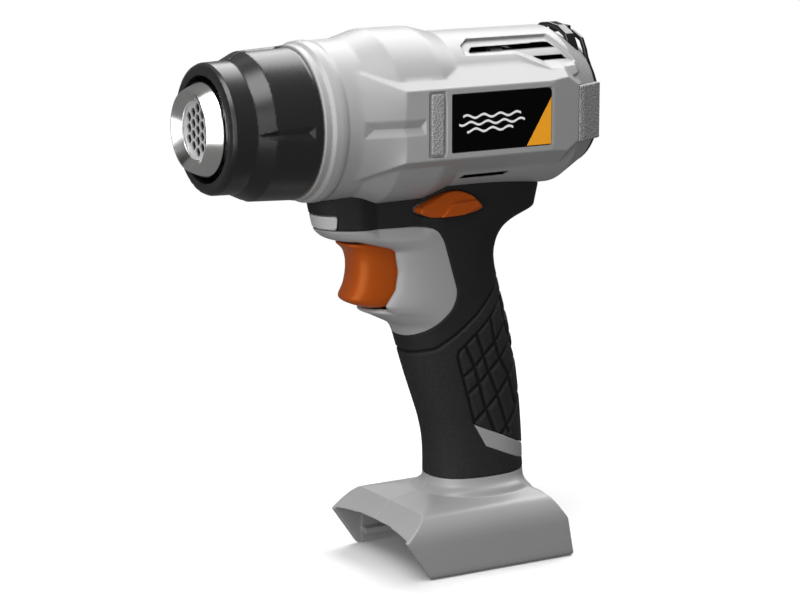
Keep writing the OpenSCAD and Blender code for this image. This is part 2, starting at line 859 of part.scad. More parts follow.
// Squeeze trigger.
module trigger() {
    bottom_z = trigger_sections[0][0];
    top_z = trigger_sections[8][0];
    color(orange) difference() {
        union() {
            loft([
                for (s = trigger_sections)
                    oval(s[0], s[1], trigger_rear_x - 4, s[2])
            ]);
            block([trigger_rear_x, -trigger_half_w, bottom_z], [8, trigger_half_w, top_z]);
        }
        block([-far, -far, 0], [trigger_rear_x, far, far]);
        block([trigger_rear_x - 1, -6.6, 124], [plunger_tip_x, 6.6, 147]);
    }
}

// Pin that the trigger pushes into the switch.
module switch_plunger() {
    rear_x = switch_x[1] - 8;
    color([0.2, 0.2, 0.2]) translate([rear_x, 0, plunger_z]) rotate([0, 90, 0])
        cylinder(r = plunger_r, h = plunger_tip_x - rear_x);
}

// Return spring between the switch and the trigger.
module trigger_spring() {
    wire_r = 0.45;
    end_gap = wire_r + 0.05;
    color(steel) translate([0, 0, plunger_z])
        coil(switch_x[1] + end_gap, plunger_tip_x - end_gap, plunger_r + 1.3, wire_r, 8, 12, 6);
}

module switch_body() {
    color([0.12, 0.12, 0.13]) difference() {
        block([switch_x[0], -8, switch_z[0]], [switch_x[1], 8, switch_z[1]]);
        translate([switch_x[1] - 16, 0, plunger_z]) rotate([0, 90, 0])
            cylinder(r = plunger_r + 0.3, h = 20);
    }
}

// Cross bolt with a pad on each side of the tool.
module lock_button() {
    pad_in = 14.8;
    color(orange) {
        both_sides() {
            side_slab(lock_outline(0), pad_in, lock_half_w);
            side_slab([[-15, 160.5], [-20.6, 166.4], [-34.5, 167.4], [-33, 163.4], [-24, 161]],
                lock_half_w - 1, lock_half_w + 0.9);
        }
        block(
            [lock_pos[0] - lock_bar[0] / 2, -pad_in - 0.5, lock_pos[1] - lock_bar[1] / 2],
            [lock_pos[0] + lock_bar[0] / 2, pad_in + 0.5, lock_pos[1] + lock_bar[1] / 2]
        );
    }
}

// Circuit board between the battery bay and the handle.
module control_board() {
    color([0.1, 0.35, 0.2]) block([-68, -24, deck_z + 1.4], [-12, 24, deck_z + 3]);
}

// Finned aluminium block that cools the board's transistors.
module board_heat_sink() {
    color([0.7, 0.72, 0.74]) {
        block([-62, -10, deck_z + 3], [-46, 10, deck_z + 5]);
        for (i = [0 : 4]) block([-61.6 + 3.6 * i, -10, deck_z + 5], [-60.4 + 3.6 * i, 10, deck_z + 18]);
    }
}

// Plastic block that carries the battery's contacts.
module terminal_block() {
    color([0.12, 0.12, 0.13]) difference() {
        block([-62, -17, 6], [-40, 17, deck_z - 1.7]);
        for (y = [-12, -4, 4, 12]) block([-50, y - 2, 0], [-30, y + 2, 14]);
    }
}

module terminal_blades() {
    color(copper) for (y = [-12, -4, 4, 12]) {
        block([-49.9, y - 0.4, 7], [-33, y + 0.4, 12.6]);
    }
}

// Direction of travel at a wire's corner, halfway between the stretches that meet there.
function heading(corners, i) =
    let (
        before = corners[max(i, 1)] - corners[max(i, 1) - 1],
        after = corners[min(i + 1, len(corners) - 1)] - corners[min(i, len(corners) - 2)],
        sum = before / norm(before) + after / norm(after)
    )
    sum / norm(sum);

// How much a mitred corner is wider than the wire.
function mitre(corners, i) =
    let (after = corners[min(i + 1, len(corners) - 1)] - corners[min(i, len(corners) - 2)])
    1 / (heading(corners, i) * after / norm(after));

// A wire that follows [x, z] corners at a fixed y.
module lead(corners, y) {
    sides = 8;
    loft([
        for (i = [0 : len(corners) - 1])
            let (t = heading(corners, i))
            circle_at(
                [corners[i][0], y, corners[i][1]],
                mitre(corners, i) * [t[1], 0, -t[0]], [0, 1, 0], lead_r, sides
            )
    ]);
}

// The same wire on both sides of the middle.
module lead_pair(corners, y, tint) {
    color(tint[0]) lead(corners, y);
    color(tint[1]) lead(corners, -y);
}

module battery_leads() {
    top = switch_z[0] - lead_end_gap;
    lead_pair([[-38, deck_z + 3 + lead_end_gap], [-38, 100], [-36, top]], 4, ["firebrick", "black"]);
}

module motor_leads() {
    start = switch_z[1] + lead_end_gap;
    lead_pair([[-44, start], [-52, 164], [-56, 176], [-79.9, 183], [-79.9, 193]], 5, ["red", "blue"]);
}

// From the switch, up in front of the motor's mount and forward under the fan's duct.
module heater_leads() {
    start = switch_z[1] + lead_end_gap;
    run_z = axis_h - 30.6;
    rise_x = -41.2;
    lead_pair(
        [
            [-39, start], [rise_x, 164], [rise_x, run_z - 2], [rise_x + 4, run_z], [14, run_z],
            [18, 178], [18, 190.4]
        ],
        3, ["white", "yellow"]
    );
}

// From the switch, forward under the lock button and the front screw to the work light.
module led_leads() {
    start = switch_z[1] + lead_end_gap;
    run_z = 155.2;
    lead_pair([[-34, start], [-34, run_z - 2], [-32, run_z], [21.9, run_z]], 4, ["red", "black"]);
}

// Self-tapping screws, driven from the right side.
module housing_screws() {
    head_h = 2.2;
    recess_r = 1.2;
    color([0.3, 0.3, 0.32]) for (s = screw_sites) {
        difference() {
            union() {
                cross_rod(s[0], s[1], -s[2], 9.8, screw_r);
                cross_rod(s[0], s[1], -s[2] - head_h, -s[2], screw_head_r);
            }
            cross_rod(s[0], s[1], -s[2] - head_h - 1, -s[2] - 0.6, recess_r);
        }
    }
}

left_housing();
right_housing();
left_overmould();
right_overmould();
heat_guard();
nozzle();
honeycomb();
heater_tube();
mica_sleeve();
mica_card_upright();
mica_card_flat();
heating_coil();
thermal_cutoff();
support_ring();
fan_duct();
fan_impeller();
motor_shaft();
armature();
armature_windings();
commutator();
motor_can();
motor_magnets();
motor_front_bush();
motor_rear_bush();
motor_end_cap();
motor_brushes();
motor_mount();
intake_screen();
rear_cap();
left_label();
right_label();
left_front_bumper();
right_front_bumper();
left_rear_bumper();
right_rear_bumper();
led_lens();
led_board();
trigger();
switch_plunger();
trigger_spring();
switch_body();
lock_button();
control_board();
board_heat_sink();
terminal_block();
terminal_blades();
battery_leads();
motor_leads();
heater_leads();
led_leads();
housing_screws();
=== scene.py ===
"""Looks of the cordless heat gun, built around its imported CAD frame.

The moulded pieces are meshes of smooth distance fields in millimetres: a field is negative inside the
piece, and y is the distance from the tool's middle plane, so one field describes both sides.
"""

import json
import math

import bmesh
import bpy
import numpy as np
import openvdb
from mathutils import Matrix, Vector


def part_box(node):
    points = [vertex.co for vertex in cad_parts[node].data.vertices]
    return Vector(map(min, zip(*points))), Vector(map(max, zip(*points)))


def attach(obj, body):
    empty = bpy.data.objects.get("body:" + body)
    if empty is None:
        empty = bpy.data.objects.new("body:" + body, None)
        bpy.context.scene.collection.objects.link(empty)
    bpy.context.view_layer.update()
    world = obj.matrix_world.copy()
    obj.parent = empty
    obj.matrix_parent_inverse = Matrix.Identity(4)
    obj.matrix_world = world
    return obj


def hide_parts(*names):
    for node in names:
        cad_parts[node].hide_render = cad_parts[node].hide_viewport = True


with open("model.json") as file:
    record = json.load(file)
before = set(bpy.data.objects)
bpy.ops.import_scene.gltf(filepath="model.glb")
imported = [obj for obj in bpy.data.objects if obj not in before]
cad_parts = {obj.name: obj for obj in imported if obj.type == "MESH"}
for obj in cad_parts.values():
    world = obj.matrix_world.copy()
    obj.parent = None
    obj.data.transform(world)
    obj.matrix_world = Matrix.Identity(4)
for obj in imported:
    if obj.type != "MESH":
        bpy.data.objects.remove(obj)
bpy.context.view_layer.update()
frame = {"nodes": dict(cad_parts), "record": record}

MM = 0.001
FAR = 400.0             # well outside the tool


def box_mm(node):
    """Lowest and highest corner of a CAD node, in millimetres."""
    low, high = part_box(node)
    return np.array(low) / MM, np.array(high) / MM


# Main dimensions, read from the CAD nodes.
housing_low, housing_high = box_mm("left_housing")
guard_low, guard_high = box_mm("heat_guard")
nozzle_low, nozzle_high = box_mm("nozzle")
cap_low, cap_high = box_mm("rear_cap")
trigger_low, trigger_high = box_mm("trigger")
lock_low, lock_high = box_mm("lock_button")
lens_low, lens_high = box_mm("led_lens")
label_low, label_high = box_mm("left_label")
front_pad_low, front_pad_high = box_mm("left_front_bumper")
rear_pad_low, rear_pad_high = box_mm("left_rear_bumper")

AXIS_Z = (nozzle_low[2] + nozzle_high[2]) / 2
SHOULDER_R = housing_high[2] - AXIS_Z
BARREL_R = SHOULDER_R - 3.1
NECK_R = SHOULDER_R - 3.6
PANEL_Y = housing_high[1]
GUARD_R = guard_high[2] - AXIS_Z
NOZZLE_BASE_R = nozzle_high[2] - AXIS_Z
REAR_X = housing_low[0]
RUBBER = 1.8            # thickness of the overmould
WALL = 2.6              # thickness of the clamshell
GAP = 0.4               # play round what moves
SEAM = 0.04             # from the middle plane to each half
LOCK_FLOOR_Y = 11.8     # how far in the lock button's pads may sink

# ---------------------------------------------------------------- distance fields


def join(a, b, k=0.0):
    """Union of two fields, with a fillet of about k mm where they meet."""
    if np.ndim(k) == 0 and k == 0:
        return np.minimum(a, b)
    h = np.maximum(k - np.abs(a - b), 0)
    return np.minimum(a, b) - h * h / (4 * k)


def both(a, b, k=0.0):
    """What two fields have in common, with its edge rounded by about k mm."""
    return -join(-a, -b, k)


def cut(a, b, k=0.0):
    """The first field without the second."""
    return both(a, -b, k)


def segment_distance(u, v, start, end):
    """Squared distance from (u, v) to a straight line between two points."""
    eu, ev = end[0] - start[0], end[1] - start[1]
    du, dv = u - start[0], v - start[1]
    t = np.clip((du * eu + dv * ev) / (eu * eu + ev * ev), 0, 1)
    return (du - eu * t) ** 2 + (dv - ev * t) ** 2


def line(u, v, points):
    """Distance from (u, v) to an open line through the points."""
    best = segment_distance(u, v, points[0], points[1])
    for start, end in zip(points[1:], points[2:]):
        best = np.minimum(best, segment_distance(u, v, start, end))
    return np.sqrt(best)


def outline(u, v, points):
    """Signed distance from (u, v) to a closed outline."""
    best = FAR * FAR
    inside = False
    for start, end in zip(points, [*points[1:], points[0]]):
        best = np.minimum(best, segment_distance(u, v, start, end))
        rise = end[1] - start[1]
        if rise == 0:
            continue
        spans = (v >= start[1]) != (v >= end[1])
        crossing = start[0] + (v - start[1]) * (end[0] - start[0]) / rise
        inside = inside ^ (spans & (u < crossing))
    return np.where(inside, -1, 1) * np.sqrt(best)


def eased_corner(before, corner, after, radius, count):
    """Points of an arc-like curve that replaces the corner between two neighbours."""
    to_before, to_after = before - corner, after - corner
    reach = min(radius, 0.49 * np.linalg.norm(to_before), 0.49 * np.linalg.norm(to_after))
    first = corner + to_before / np.linalg.norm(to_before) * reach
    last = corner + to_after / np.linalg.norm(to_after) * reach
    return [
        (1 - t) ** 2 * first + 2 * t * (1 - t) * corner + t * t * last for t in np.linspace(0, 1, count)
    ]


def rounded(points, radius):
    """The closed outline through the points with every corner eased."""
    corners = [np.array(p, float) for p in points]
    made = []
    for i, corner in enumerate(corners):
        made += eased_corner(corners[i - 1], corner, corners[(i + 1) % len(corners)], radius, 5)
    return made


def profile(v, points, window):
    """Height at v of the line through [place, height] points, with its corners eased over window."""
    places, heights = zip(*points)
    shifts = np.linspace(-1, 1, 9)
    return sum(np.interp(v + s * window, places, heights) for s in shifts) / len(shifts)


def slab(v, low, high):
    """Field of the space between two parallel planes."""
    return np.abs(v - (low + high) / 2) - (high - low) / 2


def squared_oval(x, y, front, rear, half_w, power):
    """Distance to an upright squared oval; a power of 2 is an ellipse, more is squarer."""
    half_l = (front - rear) / 2
    u = np.abs(x - (front + rear) / 2) / half_l + 1e-4
    v = np.abs(y) / half_w + 1e-4
    total = u**power + v**power
    slope = np.sqrt((u ** (power - 1) / half_l) ** 2 + (v ** (power - 1) / half_w) ** 2)
    size = total ** (1 / power)
    return (size - 1) * total / (size * slope)


# ---------------------------------------------------------------- barrel and side panels

BARREL = [
    (REAR_X, 28.6), (-80.5, BARREL_R), (-21.4, BARREL_R + 0.2), (-10.7, SHOULDER_R),
    (11.5, SHOULDER_R - 0.1), (24.3, NECK_R), (36.8, NECK_R - 0.3), (37.6, NECK_R),
    (39.5, NECK_R + 0.2), (43, NECK_R - 0.2), (44, NECK_R - 1.1), (44.3, NECK_R - 1.5), (47.6, NECK_R - 1.4),
]
BORE = [
    (REAR_X, 26), (-79.5, BARREL_R - WALL), (21.5, BARREL_R - WALL), (23.6, 32.4), (42, 32.4),
    (44, 28.4), (60, 28.4),
]
FLANGE_X = 47.6
SPIGOT_R = 30.6
FLAT_FRONT_X = 11.8     # the side panel's flat stretch runs from here
FLAT_REAR_X = -62.5     # to here
FLAT_HALF_Z = 15.3      # half the height of that stretch
SHELF_SLOPE = 1.51      # how steeply the panel's long edges drop towards the barrel
BLEND_X = 29.6          # where the panel has run out into the neck
BLEND_HALF_Z = 23.0
PANEL_REAR_X = -82.0


def barrel(x, r):
    """The turned body without its bore."""
    window = np.where(x > 36, 0.15, 0.4)
    slope = (profile(x + 0.2, BARREL, window) - profile(x - 0.2, BARREL, window)) / 0.4
    side = (r - profile(x, BARREL, window)) / np.sqrt(1 + slope**2)
    ends = np.maximum(x - FLANGE_X, REAR_X - x)
    return both(side, ends, 0.6)


def panel_face(x, h):
    """Sideways place of the panel's face: flat, then blending into the neck, sloping off behind."""
    t = np.clip((x - FLAT_FRONT_X) / (BLEND_X - FLAT_FRONT_X), 0, 1.1)
    half_z = FLAT_HALF_Z + t * (BLEND_HALF_Z - FLAT_HALF_Z)
    s = np.clip(h / half_z, -1.3, 1.3) * BLEND_HALF_Z
    front = (1 - t) * PANEL_Y + t * np.sqrt(NECK_R**2 - np.minimum(s * s, 30**2))
    rear = profile(x, [(REAR_X, 31), (-80.5, 35.9), (FLAT_REAR_X, PANEL_Y), (0, PANEL_Y)], 1.5)
    return np.where(x > 0, front, rear)


def panel_shelf(x, h):
    """Sideways place of the panel's two sloping long edges."""
    t = np.clip((x - FLAT_FRONT_X) / (BLEND_X - FLAT_FRONT_X), 0, 1.1)
    half_z = FLAT_HALF_Z + t * (BLEND_HALF_Z - FLAT_HALF_Z)
    edge_y = (1 - t) * PANEL_Y + t * math.sqrt(NECK_R**2 - BLEND_HALF_Z**2)
    return edge_y - SHELF_SLOPE * (np.abs(h) - half_z)


def panel(x, y, h):
    """The raised side panel."""
    face = y - panel_face(x, h)
    shelf = (y - panel_shelf(x, h)) / math.hypot(1, SHELF_SLOPE)
    corner = ((y - 33.3) / 1.5 + (np.abs(h) - 17.7) * 0.8 - (x + 74.5) * 0.6) / 1.2
    reach = both(slab(x, PANEL_REAR_X, BLEND_X + 1.5), np.abs(h) - 23.6)
    return both(both(both(face, shelf, 0.35), corner, 0.4), reach, 0.4)


def rear_bulge(x, r, h):
    """Raised flank between the upper vents and the panel."""
    window = outline(x, h, [
        (-52, 27), (-65.5, 21.8), (-80, 21.4), (-84, 18), (-74, 15), (-60, 15), (-52, 20),
    ])
    height = profile(x, [(-85, 32.2), (-80.5, 36.4), (-66, 38.1), (-53, BARREL_R)], 0.8)
    return both(r - height, window, 0.4)


def upper_recess(x, r, h):
    """Shallow dish around the upper vents, with sloping walls."""
    edge = outline(x, h, [
        (-33.5, 32.8), (-75.6, 32.8), (-84, 21), (-66.6, 21.6), (-53.3, 26.4), (-27, 27), (-28, 30.6),
    ])
    depth = BARREL_R - r
    return both((edge + 0.7 * depth) / 1.22, depth - 1.4, 0.25)


def vents(x, y, h, right):
    """Air slots through the barrel's wall; the short upper one is only on the left."""
    long_slot = outline(x, h, [(-34, 29.3), (-73.9, 29.5), (-75.6, 27.7), (-31.1, 27.5)])
    low_slot = outline(x, h, [(-24.3, -26.6), (-26, -25.4), (-48.2, -25.3), (-47, -26.5)])
    slots = both(join(long_slot, low_slot), 10 - y)
    if right:
        return slots
    short_slot = outline(x, h, [(-62.5, 24.4), (-77.1, 24.5), (-78.3, 23), (-66.1, 22.8)])
    return join(slots, both(short_slot, 10 - y))


def panel_details(x, y, h):
    """What is sunk into the panel: pointed groove, upright score, and the label's and bumper's places."""
    ramp = np.minimum(1 - np.abs(h + 0.4) / 3.5, (x - 1.8) / 1.6)
    ramp = np.minimum(ramp, (BLEND_X - x) / 5)
    groove = np.maximum(panel_face(x, h) - 1.9 * ramp - y, -2 * ramp)
    label = both(
        slab(x, label_low[0], label_high[0]) - 0.1,
        slab(h, label_low[2] - AXIS_Z, label_high[2] - AXIS_Z) - 0.1,
    )
    score = outline(x, y + 0 * h, [(-64.2, PANEL_Y + 0.1), (-62, PANEL_Y - 0.5), (-60, PANEL_Y + 0.1)])
    score = score + np.maximum(np.abs(h) - 12.3, 0)
    label = both(join(label, score), PANEL_Y - 0.5 - y)
    border = both(
        slab(x, front_pad_low[0], front_pad_high[0]) - 1.0,
        slab(h, front_pad_low[2] - AXIS_Z, front_pad_high[2] - AXIS_Z) - 1.0,
        1.0,
    )
    border = both(border, PANEL_Y - 1 - y)
    return join(groove, join(label, border))


def rear_pad(x, y, h, grow=0.0):
    """Corner bumper that wraps from the panel's rear end onto the rear cone."""
    plan = outline(x, y, [
        (-78.6, 36.8), (-81.5, 36.2), (-93.9, 29.8), (-93, 27.5), (-81, 33.8), (-78.6, 34.4),
    ])
    return both(plan - grow, slab(h, rear_pad_low[2] - AXIS_Z, rear_pad_high[2] - AXIS_Z) - grow, 0.8)


# ---------------------------------------------------------------- handle

FRONT_LINE = [
    (30, -22.6), (44, -23), (60, -21.6), (78, -15), (95, -9.3), (104, -7), (110, -4.4), (116, 8),
    (117.5, 12.8), (121, 17), (128, 10.5), (136, 8.5), (146, 10), (152, 30), (156, 34.5), (162, 36),
    (168, 37.4), (178, 39),
]
REAR_LINE = [
    (30, -70.6), (44, -70.3), (60, -69.6), (78, -67.9), (95, -65), (110, -61.2), (117.5, -59.4),
    (128, -56.2), (136, -54), (143, -54.2), (149, -57), (154, -64), (157.3, -73), (158.5, -76.2),
    (162, -77), (168, -78.5), (178, -79.5),
]
HALF_WIDTH = [
    (30, 17.5), (44, 16.5), (60, 16), (78, 16.3), (95, 17), (110, 17.5), (136, 18), (156, 18.7), (168, 19),
]
SADDLE_WAIST = [(-80, 19), (-20, 18.8), (-10, 15.4), (11, 13), (21, 15.3), (36, 15.3)]
OVAL_POWER = 2.4
GRIP_BOTTOM_Z = 38.0

GREY_WINDOW = [
    (FAR, 157.6), (-8, 156.4), (-16, 155), (-20, 150), (-28, 124.5), (-25.5, 117.5), (-16, 109.2),
    (-8, 105.4), (-2, 103.6), (FAR, 103.6),
]
FLASH = [
    (-37.5, 63), (-44, 51.8), (-62.6, 43.8), (-72, 41.2), (-FAR, 41.2), (-FAR, 47.4), (-72, 47.4),
    (-53.5, 56),
]


def handle(x, y, z, inset):
    """The handle's form, set in by some millimetres."""
    front = profile(z, FRONT_LINE, np.interp(z, [90, 112, 152, 160], [9, 0.8, 1.2, 2.5])) - inset
    rear = profile(z, REAR_LINE, np.interp(z, [90, 120, 145, 158], [9, 4, 4, 1])) + inset
    half_w = profile(z, HALF_WIDTH, 6) - inset
    oval = squared_oval(x, y, front, rear, half_w, OVAL_POWER)
    waist = y - profile(x, SADDLE_WAIST, 0.4) + inset - 0.5 * np.maximum(158 - z, 0)
    return both(oval, waist, 1.0)


def grey_window(x, z):
    """Side view of where the grey core comes to the surface."""
    panel_part = outline(x, z, rounded(GREY_WINDOW, 4))
    return join(join(panel_part, outline(x, z, FLASH)), z - GRIP_BOTTOM_Z)


LOCK_PAD = rounded([
    (lock_high[0], 162.6), (lock_high[0], 164.7), (-15.5, 168.6), (-21.6, lock_high[2]),
    (-27.5, lock_high[2]), (-33.8, 168.6), (lock_low[0], 164.2), (lock_low[0], 162.8), (-34.5, 161.4),
    (-27, 160.3), (-19, lock_low[2]), (-11.5, lock_low[2] + 0.4),
], 2.2)


def lock_outline(x, z, grow):
    """Side view of the lock button's pad, grown by some millimetres."""
    return outline(x, z, LOCK_PAD) - grow


def lock_bar(x, z, grow):
    """Side view of the bar between the lock button's pads, grown by some millimetres."""
    middle_x = (lock_low[0] + lock_high[0]) / 2
    return both(slab(x, middle_x - 4.5, middle_x + 4.5), slab(z, 161.5, 166.5)) - grow


SCREW_HEAD_R = 3.1
SCREW_SEATS = [
    (20, 229, 22.6), (-71.5, 227.4, 20), (-70, 175.5, 18.2), (14, 160.4, 11.4), (-60, 163, 10.8),
    (-47, 110, 13.5), (-48, 66, 13),
]


def screw_wells(x, y, z):
    """Countersinks of the screws that are driven from the right."""
    wells = FAR
    for place_x, place_z, seat_y in SCREW_SEATS:
        wells = join(wells, both(np.hypot(x - place_x, z - place_z) - SCREW_HEAD_R, seat_y - y))
    return wells


def trigger_pocket(x, y, z):
    """Opening that the trigger slides in."""
    high_z, low_z = trigger_high[2] + 1, trigger_low[2] - 0.6
    return both(both(y - trigger_high[1] - GAP, slab(z, low_z, high_z)), trigger_low[0] - 10 - x)


def work_light_band(x, z, grow):
    """Side view of the work light's lens, grown by some millimetres."""
    return both(lens_low[0] + 0.7 - x, slab(z, lens_low[2], lens_high[2]), 1.4) - grow


# ---------------------------------------------------------------- battery foot

FOOT_SIDE = [
    (-4.5, 0), (8.5, 18.4), (-3, 28.8), (-20, 32), (-34, 33.6), (-60, 33.6), (-69, 29.6), (-76.8, 18.4),
    (-80.3, 0),
]
FOOT_HALF_FRONT = [(34.5, 0), (34.5, 18.4), (33.4, 23), (31.4, 26.4), (28.7, 28.6), (20, 30.6), (0, 33)]


def foot(x, y, z):
    """The skirt around the battery's rails, open at the front and below."""
    side = outline(x, z, FOOT_SIDE)
    front = outline(y, z, rounded([(-FAR, 0), *FOOT_HALF_FRONT, (-FAR, 33)], 2.5))
    body = both(side, front, 0.7)
    arch = both(z - 20.9 + 2.4 * (y / FOOT_HALF_FRONT[0][0]) ** 2, y - 32, 1.0)
    body = cut(body, both(arch, -6 - x), 0.9)
    bay = both(both(-74.6 - x, y - 31.9), z - 17)
    bay = join(bay, both(both(-74.6 - x, y - 24), z - 19.4))
    body = cut(body, bay, 0.5)
    electronics = both(both(slab(x, -70, -9), y - 26), slab(z, 22, 27.4))
    rails = both(both(slab(x, -74.7, -6), slab(y, 27.2, 32.1)), slab(z, 5, 8), 0.4)
    return join(cut(body, electronics), both(rails, side))


def collar(x, y, z):
    """Step round the handle's root on top of the foot."""
    body = both(handle(x, y, z, -4.2), z - 33.4, 3.0)
    return both(body, outline(x, z, FOOT_SIDE) - 0.9, 2.0)


# ---------------------------------------------------------------- whole pieces as fields


def housing(x, y, z, right):
    """One half of the grey clamshell."""
    h = z - AXIS_Z
    r = np.hypot(y, h)
    body = join(barrel(x, r), panel(x, y, h), 0.35)
    body = join(body, rear_bulge(x, r, h), 0.35)
    body = cut(body, upper_recess(x, r, h), 0.25)
    body = cut(body, panel_details(x, y, h), 0.2)
    body = cut(body, vents(x, y, h, right), 0.2)
    body = cut(body, rear_pad(x, y, h, 0.15), 0.3)
    body = cut(body, r - profile(x, BORE, 0.5))
    body = join(body, both(both(r - SPIGOT_R, 28.4 - r), slab(x, 40, 58)))

    skin = both(handle(x, y, z, 0), grey_window(x, z) + 0.12, 0.7)
    shell = join(handle(x, y, z, RUBBER), skin)
    shell = join(shell, collar(x, y, z), 5.0)
    shell = both(shell, z - 180)
    shell = cut(shell, trigger_pocket(x, y, z), 1.2 + 4.3 * np.clip((152 - z) / 5, 0, 1))
    hollow = both(handle(x, y, z, RUBBER + WALL), slab(z, 44, 153))
    shell = cut(cut(shell, hollow), r - BARREL_R + WALL)
    shell = both(shell, 25 - z)
    body = join(body, join(shell, foot(x, y, z), 1.6))
    body = cut(body, both(lock_outline(x, z, GAP), LOCK_FLOOR_Y - y))
    body = cut(body, lock_bar(x, z, GAP))
    skin_depth = both(handle(x, y, z, -1), 1 - handle(x, y, z, 1))
    body = cut(body, both(work_light_band(x, z, 0.15), skin_depth))
    if right:
        body = cut(body, screw_wells(x, y, z), 0.3)
    return both(body, SEAM - y, 0.5)


GRIP_SEAM = [
    (14, 97), (0.4, 98.3), (-8.3, 97.3), (-18.6, 99.7), (-29, 106.7), (-39.5, 114.7), (-47.4, 121.6),
    (-66, 139),
]
PATTERN_BORDER = [
    (-66, 130), (-53.4, 118.5), (-45.5, 111.1), (-34.9, 102.2), (-29.4, 97.6), (-28.9, 94.7), (-31.3, 86.6),
    (-35.1, 74.6), (-38.3, 63.1),
]
PATTERN_LINES = [
    [(-32, 101), (-37, 91), (-40, 82.5), (-43.2, 71.8), (-49.5, 57)],
    [(-38, 105), (-41.5, 96.5), (-44.2, 88.8), (-50, 76), (-57, 57)],
    [(-46, 112), (-47.3, 105.5), (-48.5, 100), (-51.6, 91.8), (-57, 83.2), (-61.6, 69)],
    [(-54.6, 121), (-55, 111), (-57, 103.5), (-64, 92)],
    [(-32, 85.5), (-37.5, 89.4), (-43.8, 95.7), (-48.5, 99.6), (-54, 106), (-60, 114)],
    [(-34.5, 77.2), (-41.5, 82.8), (-46, 87.2), (-51.5, 91.6), (-57.8, 98), (-64, 105)],
    [(-39, 64.6), (-45.4, 70.4), (-50, 74.8), (-57, 82.5), (-64, 90)],
    [(-53, 57), (-58, 62), (-66, 73)],
]


def groove(distance, width, depth):
    """How far a round-bottomed groove sinks the surface at some distance from its middle."""
    return depth * np.exp(-((distance / width) ** 2))


def grip_grooves(x, z):
    """Depth of the lines pressed into the grip's rubber."""
    sunk = groove(line(x, z, GRIP_SEAM), 0.7, 1.0)
    sunk = np.maximum(sunk, groove(line(x, z, PATTERN_BORDER), 0.8, 1.0))
    border = [*PATTERN_BORDER, (-50, 52), (-FAR, 50), (-FAR, 130)]
    lines = FAR
    for points in PATTERN_LINES:
        lines = np.minimum(lines, line(x, z, points))
    pattern = np.where(outline(x, z, border) < 0, groove(lines, 1.05, 1.0), 0)
    return np.maximum(sunk, pattern)


def grip(x, y, z, right):
    """One half of the rubber overmould."""
    h = z - AXIS_Z
    r = np.hypot(y, h)
    body = handle(x, y, z, 0) + grip_grooves(x, z)
    body = cut(body, grey_window(x, z), 0.7)
    body = cut(body, handle(x, y, z, RUBBER - 0.1))
    body = cut(body, both(work_light_band(x, z, 0.3), -4 - y), 0.4)
    body = cut(body, both(lock_outline(x, z, GAP), LOCK_FLOOR_Y - y), 0.8)
    if right:
        body = cut(body, screw_wells(x, y, z), 0.4)
    body = cut(body, join(barrel(x, r), panel(x, y, h)) - 0.05, 0.4)
    return both(body, SEAM - y, 0.5)


def lens(x, y, z):
    """Lens that wraps round the front of the saddle."""
    y = np.abs(y)
    shell = both(handle(x, y, z, 0.1), -handle(x, y, z, RUBBER - 0.1))
    return both(shell, work_light_band(x, z, -0.1), 0.6)


GUARD = [
    (88.5, 23), (88.5, 26), (87.9, 27.4), (86.4, 28.1), (77.2, 28.4), (69.5, GUARD_R - 1), (49.6, GUARD_R),
    (48.6, GUARD_R - 0.2), (48.2, GUARD_R - 0.6), (48.2, 30.7), (66.4, 30.7), (76, 26),
    (84, 26), (86, 23),
]
NOTCH_HALF_W = 3.5


def guard(x, y, z):
    """Turned collar with four pointed notches."""
    y, h = np.abs(y), np.abs(z - AXIS_Z)
    body = outline(x, np.hypot(y, h), GUARD) - 0.12
    out, along = np.maximum(y, h), np.minimum(y, h)
    depth = 1.6 + 0.3 * np.clip(x - 66.4, 0, 8)
    ramp = np.minimum(1 - along / NOTCH_HALF_W, (x - 51.8) / 3.2)
    notch = np.maximum(GUARD_R - depth * ramp - out, -depth * ramp)
    return cut(body, notch, 0.2)


TRIGGER_FRONT = [
    (119.5, 11), (120.8, 16), (122.8, 20.6), (124.7, 22), (130, 18.9), (136, 17.6), (141, 17.6),
    (146, 19.2), (149.6, 24.2),
]


def trigger(x, y, z):
    """Squeeze trigger, hollow behind."""
    y = np.abs(y)
    front = profile(z, TRIGGER_FRONT, 1.6)
    half_w = trigger_high[1] - profile(z, [(119, 1.2), (124, 0), (200, 0)], 1.5)
    face = squared_oval(x, y, front, trigger_low[0] - 6, half_w, 3.0)
    body = both(face, slab(z, trigger_low[2], trigger_high[2]), 2.2)
    body = both(body, trigger_low[0] - x)
    return cut(body, both(both(y - 6.6, slab(z, 124, 147)), x - 3))


LOCK_STEP = [(-16.4, 160), (-21.6, 165.3), (-24.2, 166.3), (-34.6, 166.6), (-36.8, 164), (-28, 160)]


def lock_button(x, y, z):
    """Cross bolt with a stepped pad on each side of the tool."""
    y = np.abs(y)
    top_y = lock_high[1] - 0.9
    crown = top_y - 0.16 * np.maximum(z - 163, 0) ** 1.25
    pad = both(lock_outline(x, z, 0), np.maximum(y - crown, 14.8 - y), 1.0)
    step = outline(x, z, LOCK_STEP)
    step = both(both(step, y - lock_high[1] - 0.05 * (z - 166), 0.6), top_y - 1.5 - y)
    pad = join(pad, both(step, lock_outline(x, z, 0), 0.8), 0.3)
    return join(pad, both(lock_bar(x, z, 0), y - 15))


CAP_RIM_R = 28.0


def strap(x, y, h, low_x, high_x, points):
    """A bent bar across the rear top, through [sideways, up] points of its middle line."""
    return both(line(y, h, points) - 1.1, slab(x, low_x, high_x), 0.9)


